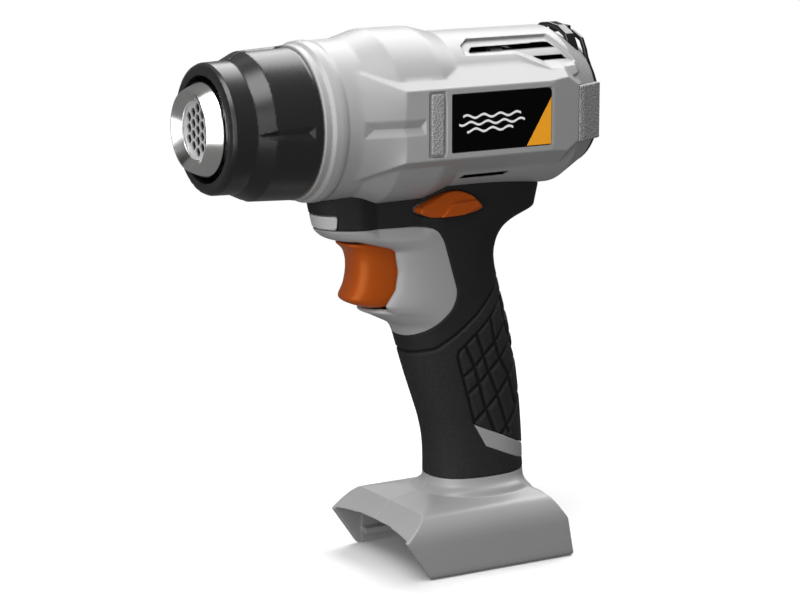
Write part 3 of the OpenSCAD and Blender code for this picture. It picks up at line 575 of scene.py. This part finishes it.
def rear_cap(x, y, z):
    """Slotted back with two arched bars above it."""
    y, h = np.abs(y), z - AXIS_Z
    r = np.hypot(y, h)
    plate_x = REAR_X - 0.1
    plate = slab(x, cap_low[0], plate_x)
    rim = both(slab(r, 23.5, CAP_RIM_R), plate, 0.8)
    rim = join(rim, both(slab(r, 23.5, 25.9), slab(x, plate_x - 0.2, REAR_X + 2.4), 0.4))
    grille = join(slab(r, 14.6, 17), r - 7)
    for turn in (22.5, 67.5, -22.5, -67.5):
        c, s = math.cos(math.radians(turn)), math.sin(math.radians(turn))
        grille = join(grille, both(np.abs(y * c + h * s) - 1.7, r - 24.5))
    grille = both(grille, plate, 0.8)
    body = join(rim, grille, 0.8)
    body = join(body, strap(x, y, h, cap_low[0], plate_x, [
        (0, 32.7), (7, 32), (13.8, 29.4), (16.6, 24.8), (19, 18.2), (21, 14),
    ]), 0.8)
    front = strap(x, y, h, -90.6, -85.5, [(0, 35.4), (6.6, 34.6), (13.1, 31.5), (16, 26.9), (17.6, 22)])
    front = cut(front, barrel(x, r) - 0.1)
    body = join(body, front)
    link = both(both(slab(x, plate_x - 0.4, -90.2), y - 6), slab(h, 32, 35.2), 0.6)
    body = join(body, link, 0.8)
    return cut(body, rear_pad(x, y, h, 0.15))


# ---------------------------------------------------------------- meshes


def add_object(name, data):
    """Puts a new object into the scene."""
    made = bpy.data.objects.new(name, data)
    bpy.context.scene.collection.objects.link(made)
    return made


def slope_of(field, points):
    """Direction in which the field grows at each point."""
    step = 0.12
    slopes = np.empty_like(points)
    for axis in range(3):
        ahead, behind = points.copy(), points.copy()
        ahead[:, axis] += step
        behind[:, axis] -= step
        slopes[:, axis] = (field(*ahead.T) - field(*behind.T)) / (2 * step)
    return slopes


def surface(name, field, low, high, pitch, mirrored=False):
    """A closed mesh of the surface where field(x, y, z) is zero, between two corners in mm."""
    axes = [np.arange(a - 2 * pitch, b + 2.5 * pitch, pitch) for a, b in zip(low, high)]
    grid = openvdb.FloatGrid(3 * pitch)
    planes = 24
    for start in range(0, len(axes[0]), planes):
        x = axes[0][start:start + planes]
        values = field(*np.ix_(x, axes[1], axes[2]))
        values = np.clip(values, -3 * pitch, 3 * pitch).astype(np.float32)
        grid.copyFromArray(np.ascontiguousarray(values), ijk=(start, 0, 0), tolerance=0.0)
    grid.gridClass = openvdb.GridClass.LEVEL_SET
    points, triangles, quads = grid.convertToPolygons(isovalue=0.0, adaptivity=0.02)
    points = points.astype(float) * pitch + [a[0] for a in axes]
    for _ in range(3):
        slopes = slope_of(field, points)
        steepness = np.maximum((slopes**2).sum(axis=1), 0.25)
        move = slopes * (field(*points.T) / steepness)[:, None]
        points -= np.clip(move, -0.4 * pitch, 0.4 * pitch)
    normals = slope_of(field, points)
    normals /= np.maximum(np.linalg.norm(normals, axis=1), 1e-6)[:, None]
    faces = [*quads.tolist(), *triangles.tolist()]
    a, b, c = (points[quads[:, i]] for i in range(3))
    outward = (np.cross(b - a, c - a) * normals[quads[:, 0]]).sum() > 0
    if mirrored:
        points[:, 1] *= -1
        normals[:, 1] *= -1
        outward = not outward
    if not outward:
        faces = [face[::-1] for face in faces]
    mesh = bpy.data.meshes.new(name)
    mesh.from_pydata((points * MM).tolist(), [], faces)
    mesh.validate()
    mesh.shade_smooth()
    if len(mesh.vertices) == len(normals):
        mesh.normals_split_custom_set_from_vertices(normals.tolist())
    return add_object(name, mesh)


def turned(name, points, sides):
    """A body of revolution about the barrel's axis from a closed [x, radius] outline."""
    bm = bmesh.new()
    rings = []
    for i in range(sides):
        a = 2 * math.pi * i / sides
        rings.append([
            bm.verts.new(Vector((x, r * math.cos(a), AXIS_Z + r * math.sin(a))) * MM) for x, r in points
        ])
    for i, ring in enumerate(rings):
        after = rings[(i + 1) % sides]
        for j in range(len(points)):
            k = (j + 1) % len(points)
            bm.faces.new((ring[j], ring[k], after[k], after[j]))
    bmesh.ops.recalc_face_normals(bm, faces=bm.faces)
    return from_bmesh(name, bm, math.radians(28))


def plate(name, points, low_y, high_y, bevel):
    """A flat plate from a side view outline in [x, z], between two sideways places."""
    bm = bmesh.new()
    face = bm.faces.new([bm.verts.new(Vector((x, low_y, z)) * MM) for x, z in points])
    made = bmesh.ops.extrude_face_region(bm, geom=[face])
    for v in (g for g in made["geom"] if isinstance(g, bmesh.types.BMVert)):
        v.co.y = high_y * MM
    bmesh.ops.recalc_face_normals(bm, faces=bm.faces)
    if bevel:
        rim = [e for e in bm.edges if all(abs(v.co.y - high_y * MM) < 1e-7 for v in e.verts)]
        bmesh.ops.bevel(bm, geom=rim, offset=bevel * MM, segments=2, affect="EDGES")
    return from_bmesh(name, bm, math.radians(35))


def from_bmesh(name, bm, sharp_angle):
    """A smooth shaded piece with sharp edges where faces meet at more than an angle."""
    mesh = bpy.data.meshes.new(name)
    bm.to_mesh(mesh)
    bm.free()
    mesh.shade_smooth()
    mesh.set_sharp_from_angle(angle=sharp_angle)
    return add_object(name, mesh)


def mark(piece, name, value_at):
    """Stores value_at(x, y, z), with places in mm, on the points of a piece for its material."""
    co = np.empty(len(piece.data.vertices) * 3)
    piece.data.vertices.foreach_get("co", co)
    values = value_at(*(co.reshape(-1, 3).T / MM)).astype(np.float32)
    piece.data.attributes.new(name, "FLOAT", "POINT").data.foreach_set("value", values)


# ---------------------------------------------------------------- materials


def new_material(name, colour, roughness, metallic, gloss):
    """A principled material with slight mottling in colour and roughness; returns it and its parts."""
    material = bpy.data.materials.new(name)
    material.use_nodes = True
    nodes, links = material.node_tree.nodes, material.node_tree.links
    shader = nodes["Principled BSDF"]
    shader.inputs["Metallic"].default_value = metallic
    shader.inputs["Specular IOR Level"].default_value = gloss
    place = nodes.new("ShaderNodeTexCoord")
    mottle = nodes.new("ShaderNodeTexNoise")
    mottle.inputs["Scale"].default_value = 45
    mottle.inputs["Detail"].default_value = 5
    links.new(place.outputs["Object"], mottle.inputs["Vector"])
    tint = nodes.new("ShaderNodeMix")
    tint.data_type = "RGBA"
    tint.inputs["A"].default_value = (*[c * 0.96 for c in colour], 1)
    tint.inputs["B"].default_value = (*[min(1, c * 1.04) for c in colour], 1)
    links.new(mottle.outputs["Fac"], tint.inputs["Factor"])
    links.new(tint.outputs["Result"], shader.inputs["Base Color"])
    spread = nodes.new("ShaderNodeMapRange")
    spread.inputs["To Min"].default_value = roughness * 0.9
    spread.inputs["To Max"].default_value = min(1, roughness * 1.1)
    links.new(mottle.outputs["Fac"], spread.inputs["Value"])
    links.new(spread.outputs["Result"], shader.inputs["Roughness"])
    return material, nodes, links, shader, place


def masked(material, value, mask):
    """The value times the mesh attribute."""
    nodes, links = material.node_tree.nodes, material.node_tree.links
    where = nodes.new("ShaderNodeAttribute")
    where.attribute_name = mask
    times = nodes.new("ShaderNodeMath")
    times.operation = "MULTIPLY"
    links.new(value, times.inputs[0])
    links.new(where.outputs["Fac"], times.inputs[1])
    return times.outputs["Value"]


def grained(name, colour, roughness, grain, depth, metallic=0.0, gloss=0.5, cells=False, mask=None):
    """A material whose surface has grain of some size and depth, in millimetres."""
    material, nodes, links, shader, place = new_material(name, colour, roughness, metallic, gloss)
    texture = nodes.new("ShaderNodeTexVoronoi" if cells else "ShaderNodeTexNoise")
    texture.inputs["Scale"].default_value = 1 / (grain * MM)
    links.new(place.outputs["Object"], texture.inputs["Vector"])
    bump = nodes.new("ShaderNodeBump")
    bump.inputs["Distance"].default_value = depth * MM
    bump.inputs["Strength"].default_value = 1
    height = texture.outputs["Distance" if cells else "Fac"]
    if mask:
        height = masked(material, height, mask)
    links.new(height, bump.inputs["Height"])
    links.new(bump.outputs["Normal"], shader.inputs["Normal"])
    return material


def brushed(name, colour, roughness):
    """A metal with fine lines drawn along the barrel."""
    material, nodes, links, shader, place = new_material(name, colour, roughness, 1.0, 0.5)
    stretch = nodes.new("ShaderNodeMapping")
    stretch.inputs["Scale"].default_value = (60, 2500, 2500)
    lines = nodes.new("ShaderNodeTexNoise")
    lines.inputs["Scale"].default_value = 1
    bump = nodes.new("ShaderNodeBump")
    bump.inputs["Distance"].default_value = 0.02 * MM
    links.new(place.outputs["Object"], stretch.inputs["Vector"])
    links.new(stretch.outputs["Vector"], lines.inputs["Vector"])
    links.new(lines.outputs["Fac"], bump.inputs["Height"])
    links.new(bump.outputs["Normal"], shader.inputs["Normal"])
    return material


def overlaid(material, amount, colour):
    """The material with its colour going over to another by the amount that a node gives out."""
    nodes, links = material.node_tree.nodes, material.node_tree.links
    base = nodes["Principled BSDF"].inputs["Base Color"]
    shade = nodes.new("ShaderNodeMix")
    shade.data_type = "RGBA"
    shade.inputs["B"].default_value = (*colour, 1)
    links.new(amount, shade.inputs["Factor"])
    links.new(base.links[0].from_socket, shade.inputs["A"])
    links.new(shade.outputs["Result"], base)
    return material


def darkened(material, mask):
    """Painted shade: the material going to near black where the mesh attribute is one."""
    where = material.node_tree.nodes.new("ShaderNodeAttribute")
    where.attribute_name = mask
    return overlaid(material, where.outputs["Fac"], (0.002, 0.002, 0.002))


def speckled(material, mask, size, colour):
    """The material with fine specks of some size in mm where the mesh attribute is one."""
    nodes, links = material.node_tree.nodes, material.node_tree.links
    place = nodes.new("ShaderNodeTexCoord")
    noise = nodes.new("ShaderNodeTexNoise")
    noise.inputs["Scale"].default_value = 1 / (size * MM)
    links.new(place.outputs["Object"], noise.inputs["Vector"])
    specks = nodes.new("ShaderNodeMapRange")
    specks.inputs["From Min"].default_value = 0.45
    specks.inputs["From Max"].default_value = 0.65
    links.new(noise.outputs["Fac"], specks.inputs["Value"])
    return overlaid(material, masked(material, specks.outputs["Result"], mask), colour)


def painted_hole_shade(material, front_x):
    """Painted shade: the material going to near black just behind front_x, standing in for the shade deep in
    holes.
    """
    nodes, links = material.node_tree.nodes, material.node_tree.links
    place = nodes.new("ShaderNodeTexCoord")
    split = nodes.new("ShaderNodeSeparateXYZ")
    links.new(place.outputs["Object"], split.inputs["Vector"])
    behind = nodes.new("ShaderNodeMapRange")
    behind.inputs["From Min"].default_value = (front_x - 0.15) * MM
    behind.inputs["From Max"].default_value = (front_x - 1.2) * MM
    links.new(split.outputs["X"], behind.inputs["Value"])
    return overlaid(material, behind.outputs["Result"], (0.012, 0.012, 0.012))


MATERIALS = {
    # The housing's plastic carries painted shade: near black on the vent walls and deep inside the barrel.
    "housing_plastic": darkened(
        grained("housing_plastic", (0.34, 0.34, 0.342), 0.38, 0.35, 0.012), "painted_vent_shade"
    ),
    "pad_plastic": grained("pad_plastic", (0.33, 0.33, 0.332), 0.55, 0.9, 1.2),
    # The grip's rubber carries painted shade: near black in its sunk grooves.
    "grip_rubber": darkened(
        speckled(
            grained("grip_rubber", (0.013, 0.013, 0.0132), 0.7, 0.55, 0.3, gloss=0.3, mask="grain"),
            "grain", 0.5, (0.024, 0.024, 0.024),
        ),
        "sunk",
    ),
    "guard_plastic": grained("guard_plastic", (0.012, 0.012, 0.0122), 0.28, 0.3, 0.006),
    "cap_plastic": grained("cap_plastic", (0.008, 0.008, 0.0085), 0.12, 1.5, 0.01),
    "orange_plastic": grained("orange_plastic", (0.42, 0.074, 0.008), 0.34, 0.35, 0.006, gloss=0.8),
    "nozzle_chrome": grained("nozzle_chrome", (0.86, 0.85, 0.84), 0.2, 3.0, 0.004, metallic=1.0),
    "screen_steel": brushed("screen_steel", (0.6, 0.6, 0.6), 0.4),
    "heater_steel": brushed("heater_steel", (0.5, 0.5, 0.52), 0.34),
    "mica_card": grained("mica_card", (0.14, 0.12, 0.09), 0.5, 1.6, 0.06, cells=True),
    "coil_wire": brushed("coil_wire", (0.3, 0.26, 0.24), 0.4),
    "cutoff_case": grained("cutoff_case", (0.7, 0.7, 0.66), 0.5, 0.4, 0.02),
    "inner_plastic": grained("inner_plastic", (0.02, 0.02, 0.021), 0.45, 0.4, 0.02),
    "fan_plastic": grained("fan_plastic", (0.03, 0.03, 0.031), 0.5, 0.4, 0.01),
    "rotor_iron": brushed("rotor_iron", (0.22, 0.22, 0.24), 0.45),
    "copper_wire": brushed("copper_wire", (0.72, 0.33, 0.16), 0.28),
    "bush_bronze": grained("bush_bronze", (0.45, 0.28, 0.12), 0.4, 0.3, 0.02, metallic=1.0),
    "ferrite": grained("ferrite", (0.04, 0.04, 0.042), 0.6, 0.3, 0.03),
    "label_film": grained("label_film", (0.0006, 0.0006, 0.0006), 0.45, 2.0, 0.004, gloss=0.08),
    "lens_plastic": grained("lens_plastic", (0.54, 0.54, 0.55), 0.3, 0.7, 0.12),
    "board_laminate": grained("board_laminate", (0.01, 0.09, 0.035), 0.35, 0.8, 0.02),
    "sink_aluminium": brushed("sink_aluminium", (0.62, 0.63, 0.64), 0.32),
    "lead_insulation": grained("lead_insulation", (0.3, 0.02, 0.015), 0.45, 0.5, 0.01),
    "screw_steel": grained("screw_steel", (0.05, 0.05, 0.052), 0.35, 0.5, 0.01, metallic=1.0),
}
orange_shader = MATERIALS["orange_plastic"].node_tree.nodes["Principled BSDF"]
orange_shader.inputs["Specular Tint"].default_value = (1, 0.42, 0.14, 1)
# The honeycomb carries painted shade, near black inside its cells.
HONEYCOMB_METAL = painted_hole_shade(
    grained("honeycomb_metal", (0.5, 0.5, 0.51), 0.5, 0.4, 0.01, metallic=0.2), box_mm("honeycomb")[1][0]
)
# Near-black material of the sheet that stands in for shade inside the barrel.
SHADE_SHEET_MATERIAL = grained("painted_shade_sheet", (0.006, 0.006, 0.006), 0.9, 0.4, 0.3, gloss=0.1)
LABEL_ORANGE = grained("label_orange", (1.0, 0.4, 0.02), 0.4, 2.0, 0.004, gloss=0.2)
LABEL_WHITE = grained("label_white", (0.9, 0.9, 0.9), 0.4, 2.0, 0.004, gloss=0.2)

slot_of = {part["node"]: part["material_slot"] for part in frame["record"]["subparts"]}
body_of = {
    node: body for body, nodes in frame["record"]["behaviour"]["bodies"].items() for node in nodes
}


def finish_piece(piece, node, material=None, stands_for=True):
    """Gives a piece its material and joins it to the body of its CAD node."""
    slot = slot_of[node]
    piece.data.materials.clear()
    piece.data.materials.append(material or MATERIALS[slot])
    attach(piece, body_of[node])
    if stands_for:
        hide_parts(node)


# ---------------------------------------------------------------- pieces


def painted_vent_shade(x, y, z, right):
    """Painted shade mask: one on the walls of the vents and deep inside the barrel, where the housing is
    painted near black.
    """
    h = z - AXIS_Z
    depth = profile(x, BARREL, 0.4) - np.hypot(y, h)
    deep = np.clip((depth - 1.7) / 0.4, 0, 1) * np.clip(x - REAR_X - 1, 0, 1)
    in_vent = np.clip((0.3 - vents(x, np.abs(y), h, right)) / 0.1, 0, 1)
    return np.maximum(deep, in_vent)


def below_seam(x, y, z):
    """One where the grip's rubber has a grain, below its slanting seam."""
    places, heights = zip(*sorted(GRIP_SEAM))
    return np.clip((np.interp(x, places, heights) - z) / 1.5, 0, 1)


HALF_LOW, HALF_HIGH = (REAR_X, 0, 0), (58.5, PANEL_Y, AXIS_Z + SHOULDER_R)
GRIP_LOW, GRIP_HIGH = (-80, 0, GRIP_BOTTOM_Z), (39, 19.5, 178)

for side, right in (("left", False), ("right", True)):
    piece = surface(
        side + "_shell", lambda x, y, z: housing(x, y, z, right), HALF_LOW, HALF_HIGH, 0.5, right
    )
    mark(piece, "painted_vent_shade", lambda x, y, z: painted_vent_shade(x, y, z, right))
    finish_piece(piece, side + "_housing")

    piece = surface(
        side + "_grip", lambda x, y, z: grip(x, y, z, right), GRIP_LOW, GRIP_HIGH, 0.4, right
    )
    mark(piece, "grain", below_seam)
    # Painted shade in the grip's grooves.
    mark(piece, "sunk", lambda x, y, z: np.clip((grip_grooves(x, z) - 0.3) / 0.4, 0, 1))
    finish_piece(piece, side + "_overmould")

finish_piece(surface("guard_collar", guard, guard_low, guard_high, 0.45), "heat_guard")
finish_piece(surface("work_light_lens", lens, lens_low, lens_high, 0.3), "led_lens")
finish_piece(surface("trigger_cap", trigger, trigger_low, trigger_high, 0.35), "trigger")
finish_piece(surface("lock_bolt", lock_button, lock_low, lock_high, 0.3), "lock_button")
finish_piece(surface("back_grille", rear_cap, cap_low, cap_high, 0.32), "rear_cap")

NOZZLE = [
    (70, 17.3), (70, 18.3), (84.6, 18.3), (87.4, NOZZLE_BASE_R - 0.6), (87.9, NOZZLE_BASE_R - 0.2),
    (88.4, NOZZLE_BASE_R), (88.9, NOZZLE_BASE_R - 0.05), (89.2, NOZZLE_BASE_R - 0.25), (94.9, 17.45),
    (95.25, 17.15), (nozzle_high[0], 16.8), (95.3, 16.45), (95.05, 16.2), (92.4, 12.9), (92.1, 12.55),
    (91.7, 12.4), (91, 12.4), (91, 13.4), (87.6, 13.4), (86.2, 15.4), (84.4, 17.3),
]
finish_piece(turned("chrome_nozzle", NOZZLE, 160), "nozzle")

# A near-black sheet over the intake screen: painted shade for the inside of the barrel behind the vents.
screen_high = box_mm("intake_screen")[1]
SHADE_SHEET_X, SHADE_SHEET_R = screen_high[0], screen_high[1] - 0.4
SHADE_SHEET = [(SHADE_SHEET_X, 0.2), (SHADE_SHEET_X, SHADE_SHEET_R), (SHADE_SHEET_X + 0.5, SHADE_SHEET_R), (SHADE_SHEET_X + 0.5, 0.2)]
finish_piece(turned("painted_shade_sheet", SHADE_SHEET, 64), "intake_screen", SHADE_SHEET_MATERIAL, stands_for=False)


def label_outline():
    """The label's rectangle with its upper rear corner eased."""
    low_x, high_x, low_z, high_z = label_low[0], label_high[0], label_low[2], label_high[2]
    corners = [np.array(c) for c in ((low_x, low_z), (high_x, low_z), (high_x, high_z), (low_x, high_z))]
    return [*corners[:3], *eased_corner(corners[2], corners[3], corners[0], 2.0, 6)]


WAVE_LENGTH = 8.5
WAVES = [(-46, -16.5, 206.6), (-48, -14.5, 203.6), (-42, -18.5, 200.6)]


def wave(low_x, high_x, middle_z, height, thick):
    """Outline of a wavy stroke along X."""
    xs = np.linspace(low_x, high_x, 40)
    zs = middle_z + height * np.sin((xs - low_x) / WAVE_LENGTH * 2 * math.pi)
    upper = list(zip(xs, zs + thick / 2))
    lower = list(zip(xs, zs - thick / 2))
    return upper + lower[::-1]


def front_pad(x, y, z):
    """Bumper on the flat of the panel."""
    width = slab(x, front_pad_low[0], front_pad_high[0])
    height = slab(z, front_pad_low[2], front_pad_high[2])
    thickness = slab(y, front_pad_low[1], front_pad_high[1])
    return both(both(width, height, 1.2), thickness, 0.7)


def back_pad(x, y, z):
    """Bumper on the panel's rear corner."""
    return rear_pad(x, y, z - AXIS_Z)


WEDGE = [
    (label_low[0] + 0.2, label_high[2] - 4.1), (label_low[0] + 12.8, label_low[2] + 0.3),
    (label_low[0] + 0.2, label_low[2] + 0.3),
]
INK_LOW_Y, INK_HIGH_Y = label_high[1] - 0.1, label_high[1] + 0.06

for side, sign in (("left", 1), ("right", -1)):
    film = plate(side + "_label_film", label_outline(), sign * label_low[1], sign * label_high[1], 0.1)
    finish_piece(film, side + "_label")
    wedge = plate(side + "_label_wedge", WEDGE, sign * INK_LOW_Y, sign * INK_HIGH_Y, 0)
    finish_piece(wedge, side + "_label", LABEL_ORANGE, stands_for=False)
    for number, (start, end, z) in enumerate(WAVES):
        stroke_outline = wave(start, end, z, 0.7, 1.0)
        stroke = plate(
            f"{side}_label_wave_{number}", stroke_outline, sign * INK_LOW_Y, sign * INK_HIGH_Y, 0
        )
        finish_piece(stroke, side + "_label", LABEL_WHITE, stands_for=False)

    pad = surface(side + "_front_pad", front_pad, front_pad_low, front_pad_high, 0.25, sign < 0)
    finish_piece(pad, side + "_front_bumper")
    pad = surface(side + "_rear_pad", back_pad, rear_pad_low, rear_pad_high, 0.3, sign < 0)
    finish_piece(pad, side + "_rear_bumper")

# CAD nodes that are shown as they are: material, and a small bevel on the blocky ones.
BLOCKY = ("honeycomb", "switch_body", "terminal_block", "board_heat_sink", "motor_mount", "housing_screws")

for name, node in frame["nodes"].items():
    if node.hide_render:
        continue
    node.data.materials.clear()
    node.data.materials.append(HONEYCOMB_METAL if name == "honeycomb" else MATERIALS[slot_of[name]])
    if name in BLOCKY:
        bevel = node.modifiers.new("edge", "BEVEL")
        bevel.width = 0.12 * MM
        bevel.segments = 2

# ---------------------------------------------------------------- stage, light and camera


def aim(thing, place, target, axis):
    """Moves an object to a place and turns one of its own axes towards a target."""
    thing.location = place
    thing.rotation_mode = "QUATERNION"
    thing.rotation_quaternion = (Vector(target) - Vector(place)).to_track_quat(axis, "Y")


def stage_plane(name, centre, facing, width, height, material):
    """A flat card that isn't part of the object."""
    half_w, half_h = width / 2, height / 2
    mesh = bpy.data.meshes.new(name)
    corners = [(-half_w, -half_h, 0), (half_w, -half_h, 0), (half_w, half_h, 0), (-half_w, half_h, 0)]
    mesh.from_pydata(corners, [], [(0, 1, 2, 3)])
    mesh.materials.append(material)
    plane = add_object(name, mesh)
    aim(plane, centre, facing, "Z")
    return plane


def empty_material(name):
    """A material without any nodes yet; returns it with its nodes and links."""
    material = bpy.data.materials.new(name)
    material.use_nodes = True
    material.node_tree.nodes.clear()
    return material, material.node_tree.nodes, material.node_tree.links


def glow(name, colour, strength):
    """A light-giving material for the stage."""
    material, nodes, links = empty_material(name)
    light = nodes.new("ShaderNodeEmission")
    light.inputs["Color"].default_value = (*colour, 1)
    light.inputs["Strength"].default_value = strength
    out = nodes.new("ShaderNodeOutputMaterial")
    links.new(light.outputs["Emission"], out.inputs["Surface"])
    return material


def floor_material():
    """Pale matt floor that fades out a little way from the tool."""
    material, nodes, links = empty_material("pale_floor")
    place = nodes.new("ShaderNodeTexCoord")
    distance = nodes.new("ShaderNodeVectorMath")
    distance.operation = "LENGTH"
    links.new(place.outputs["Object"], distance.inputs[0])
    fade = nodes.new("ShaderNodeMapRange")
    fade.interpolation_type = "SMOOTHSTEP"
    fade.inputs["From Min"].default_value = 0.14
    fade.inputs["From Max"].default_value = 0.6
    links.new(distance.outputs["Value"], fade.inputs["Value"])
    matt = nodes.new("ShaderNodeBsdfDiffuse")
    matt.inputs["Color"].default_value = (0.9, 0.9, 0.9, 1)
    clear = nodes.new("ShaderNodeBsdfTransparent")
    mix = nodes.new("ShaderNodeMixShader")
    links.new(fade.outputs["Result"], mix.inputs["Fac"])
    links.new(matt.outputs["BSDF"], mix.inputs[1])
    links.new(clear.outputs["BSDF"], mix.inputs[2])
    out = nodes.new("ShaderNodeOutputMaterial")
    links.new(mix.outputs["Shader"], out.inputs["Surface"])
    return material


floor = stage_plane("floor", (-0.04, 0, -0.0002), (-0.04, 0, 1), 3, 3, floor_material())
floor.visible_diffuse = False
floor.visible_glossy = False

dome_mesh = bpy.data.meshes.new("dome")
bm = bmesh.new()
bmesh.ops.create_icosphere(bm, subdivisions=3, radius=6)
bm.to_mesh(dome_mesh)
bm.free()
dome_mesh.materials.append(glow("white_surround", (1, 1, 1), 1.0))
dome = add_object("dome", dome_mesh)
dome.visible_diffuse = False
dome.visible_glossy = False
dome.visible_shadow = False


def area_light(name, place, target, width, height, power):
    """A soft box at a place, aimed at a target."""
    lamp = bpy.data.lights.new(name, "AREA")
    lamp.shape = "RECTANGLE"
    lamp.size, lamp.size_y = width, height
    lamp.energy = power
    aim(add_object(name, lamp), place, target, "-Z")


area_light("top_light", (-0.6, -0.48, 1.1), (0, 0, 0.2), 1.2, 0.8, 16)
area_light("key_light", (0.42, 0.24, 1.0), (0, 0, 0.15), 0.7, 0.7, 10)
area_light("front_light", (1.0, 0.8, 0.25), (0, 0, 0.15), 1.3, 1.3, 12)

world = bpy.data.worlds.new("studio")
bpy.context.scene.world = world
world.use_nodes = True
world.node_tree.nodes["Background"].inputs["Color"].default_value = (1, 1, 1, 1)
world.node_tree.nodes["Background"].inputs["Strength"].default_value = 0.18

# A dark card that only the chrome and the glossy plastic mirror.
black = glow("dark_card", (0, 0, 0), 0)
dark_card = stage_plane("dark_card", (0.54, -0.22, 0.82), (0.09, 0, 0.2), 0.5, 0.4, black)
dark_card.visible_camera = False
dark_card.visible_diffuse = False
dark_card.visible_shadow = False

camera_data = bpy.data.cameras.new("camera")
camera_data.lens = 122.2
camera_data.sensor_width = 36
camera_data.clip_end = 50
camera = add_object("camera", camera_data)
aim(camera, (0.5941, 1.0203, 0.3663), (-0.0081, 0, 0.1205), "-Z")
bpy.context.scene.camera = camera
bpy.context.scene.view_settings.view_transform = "Standard"
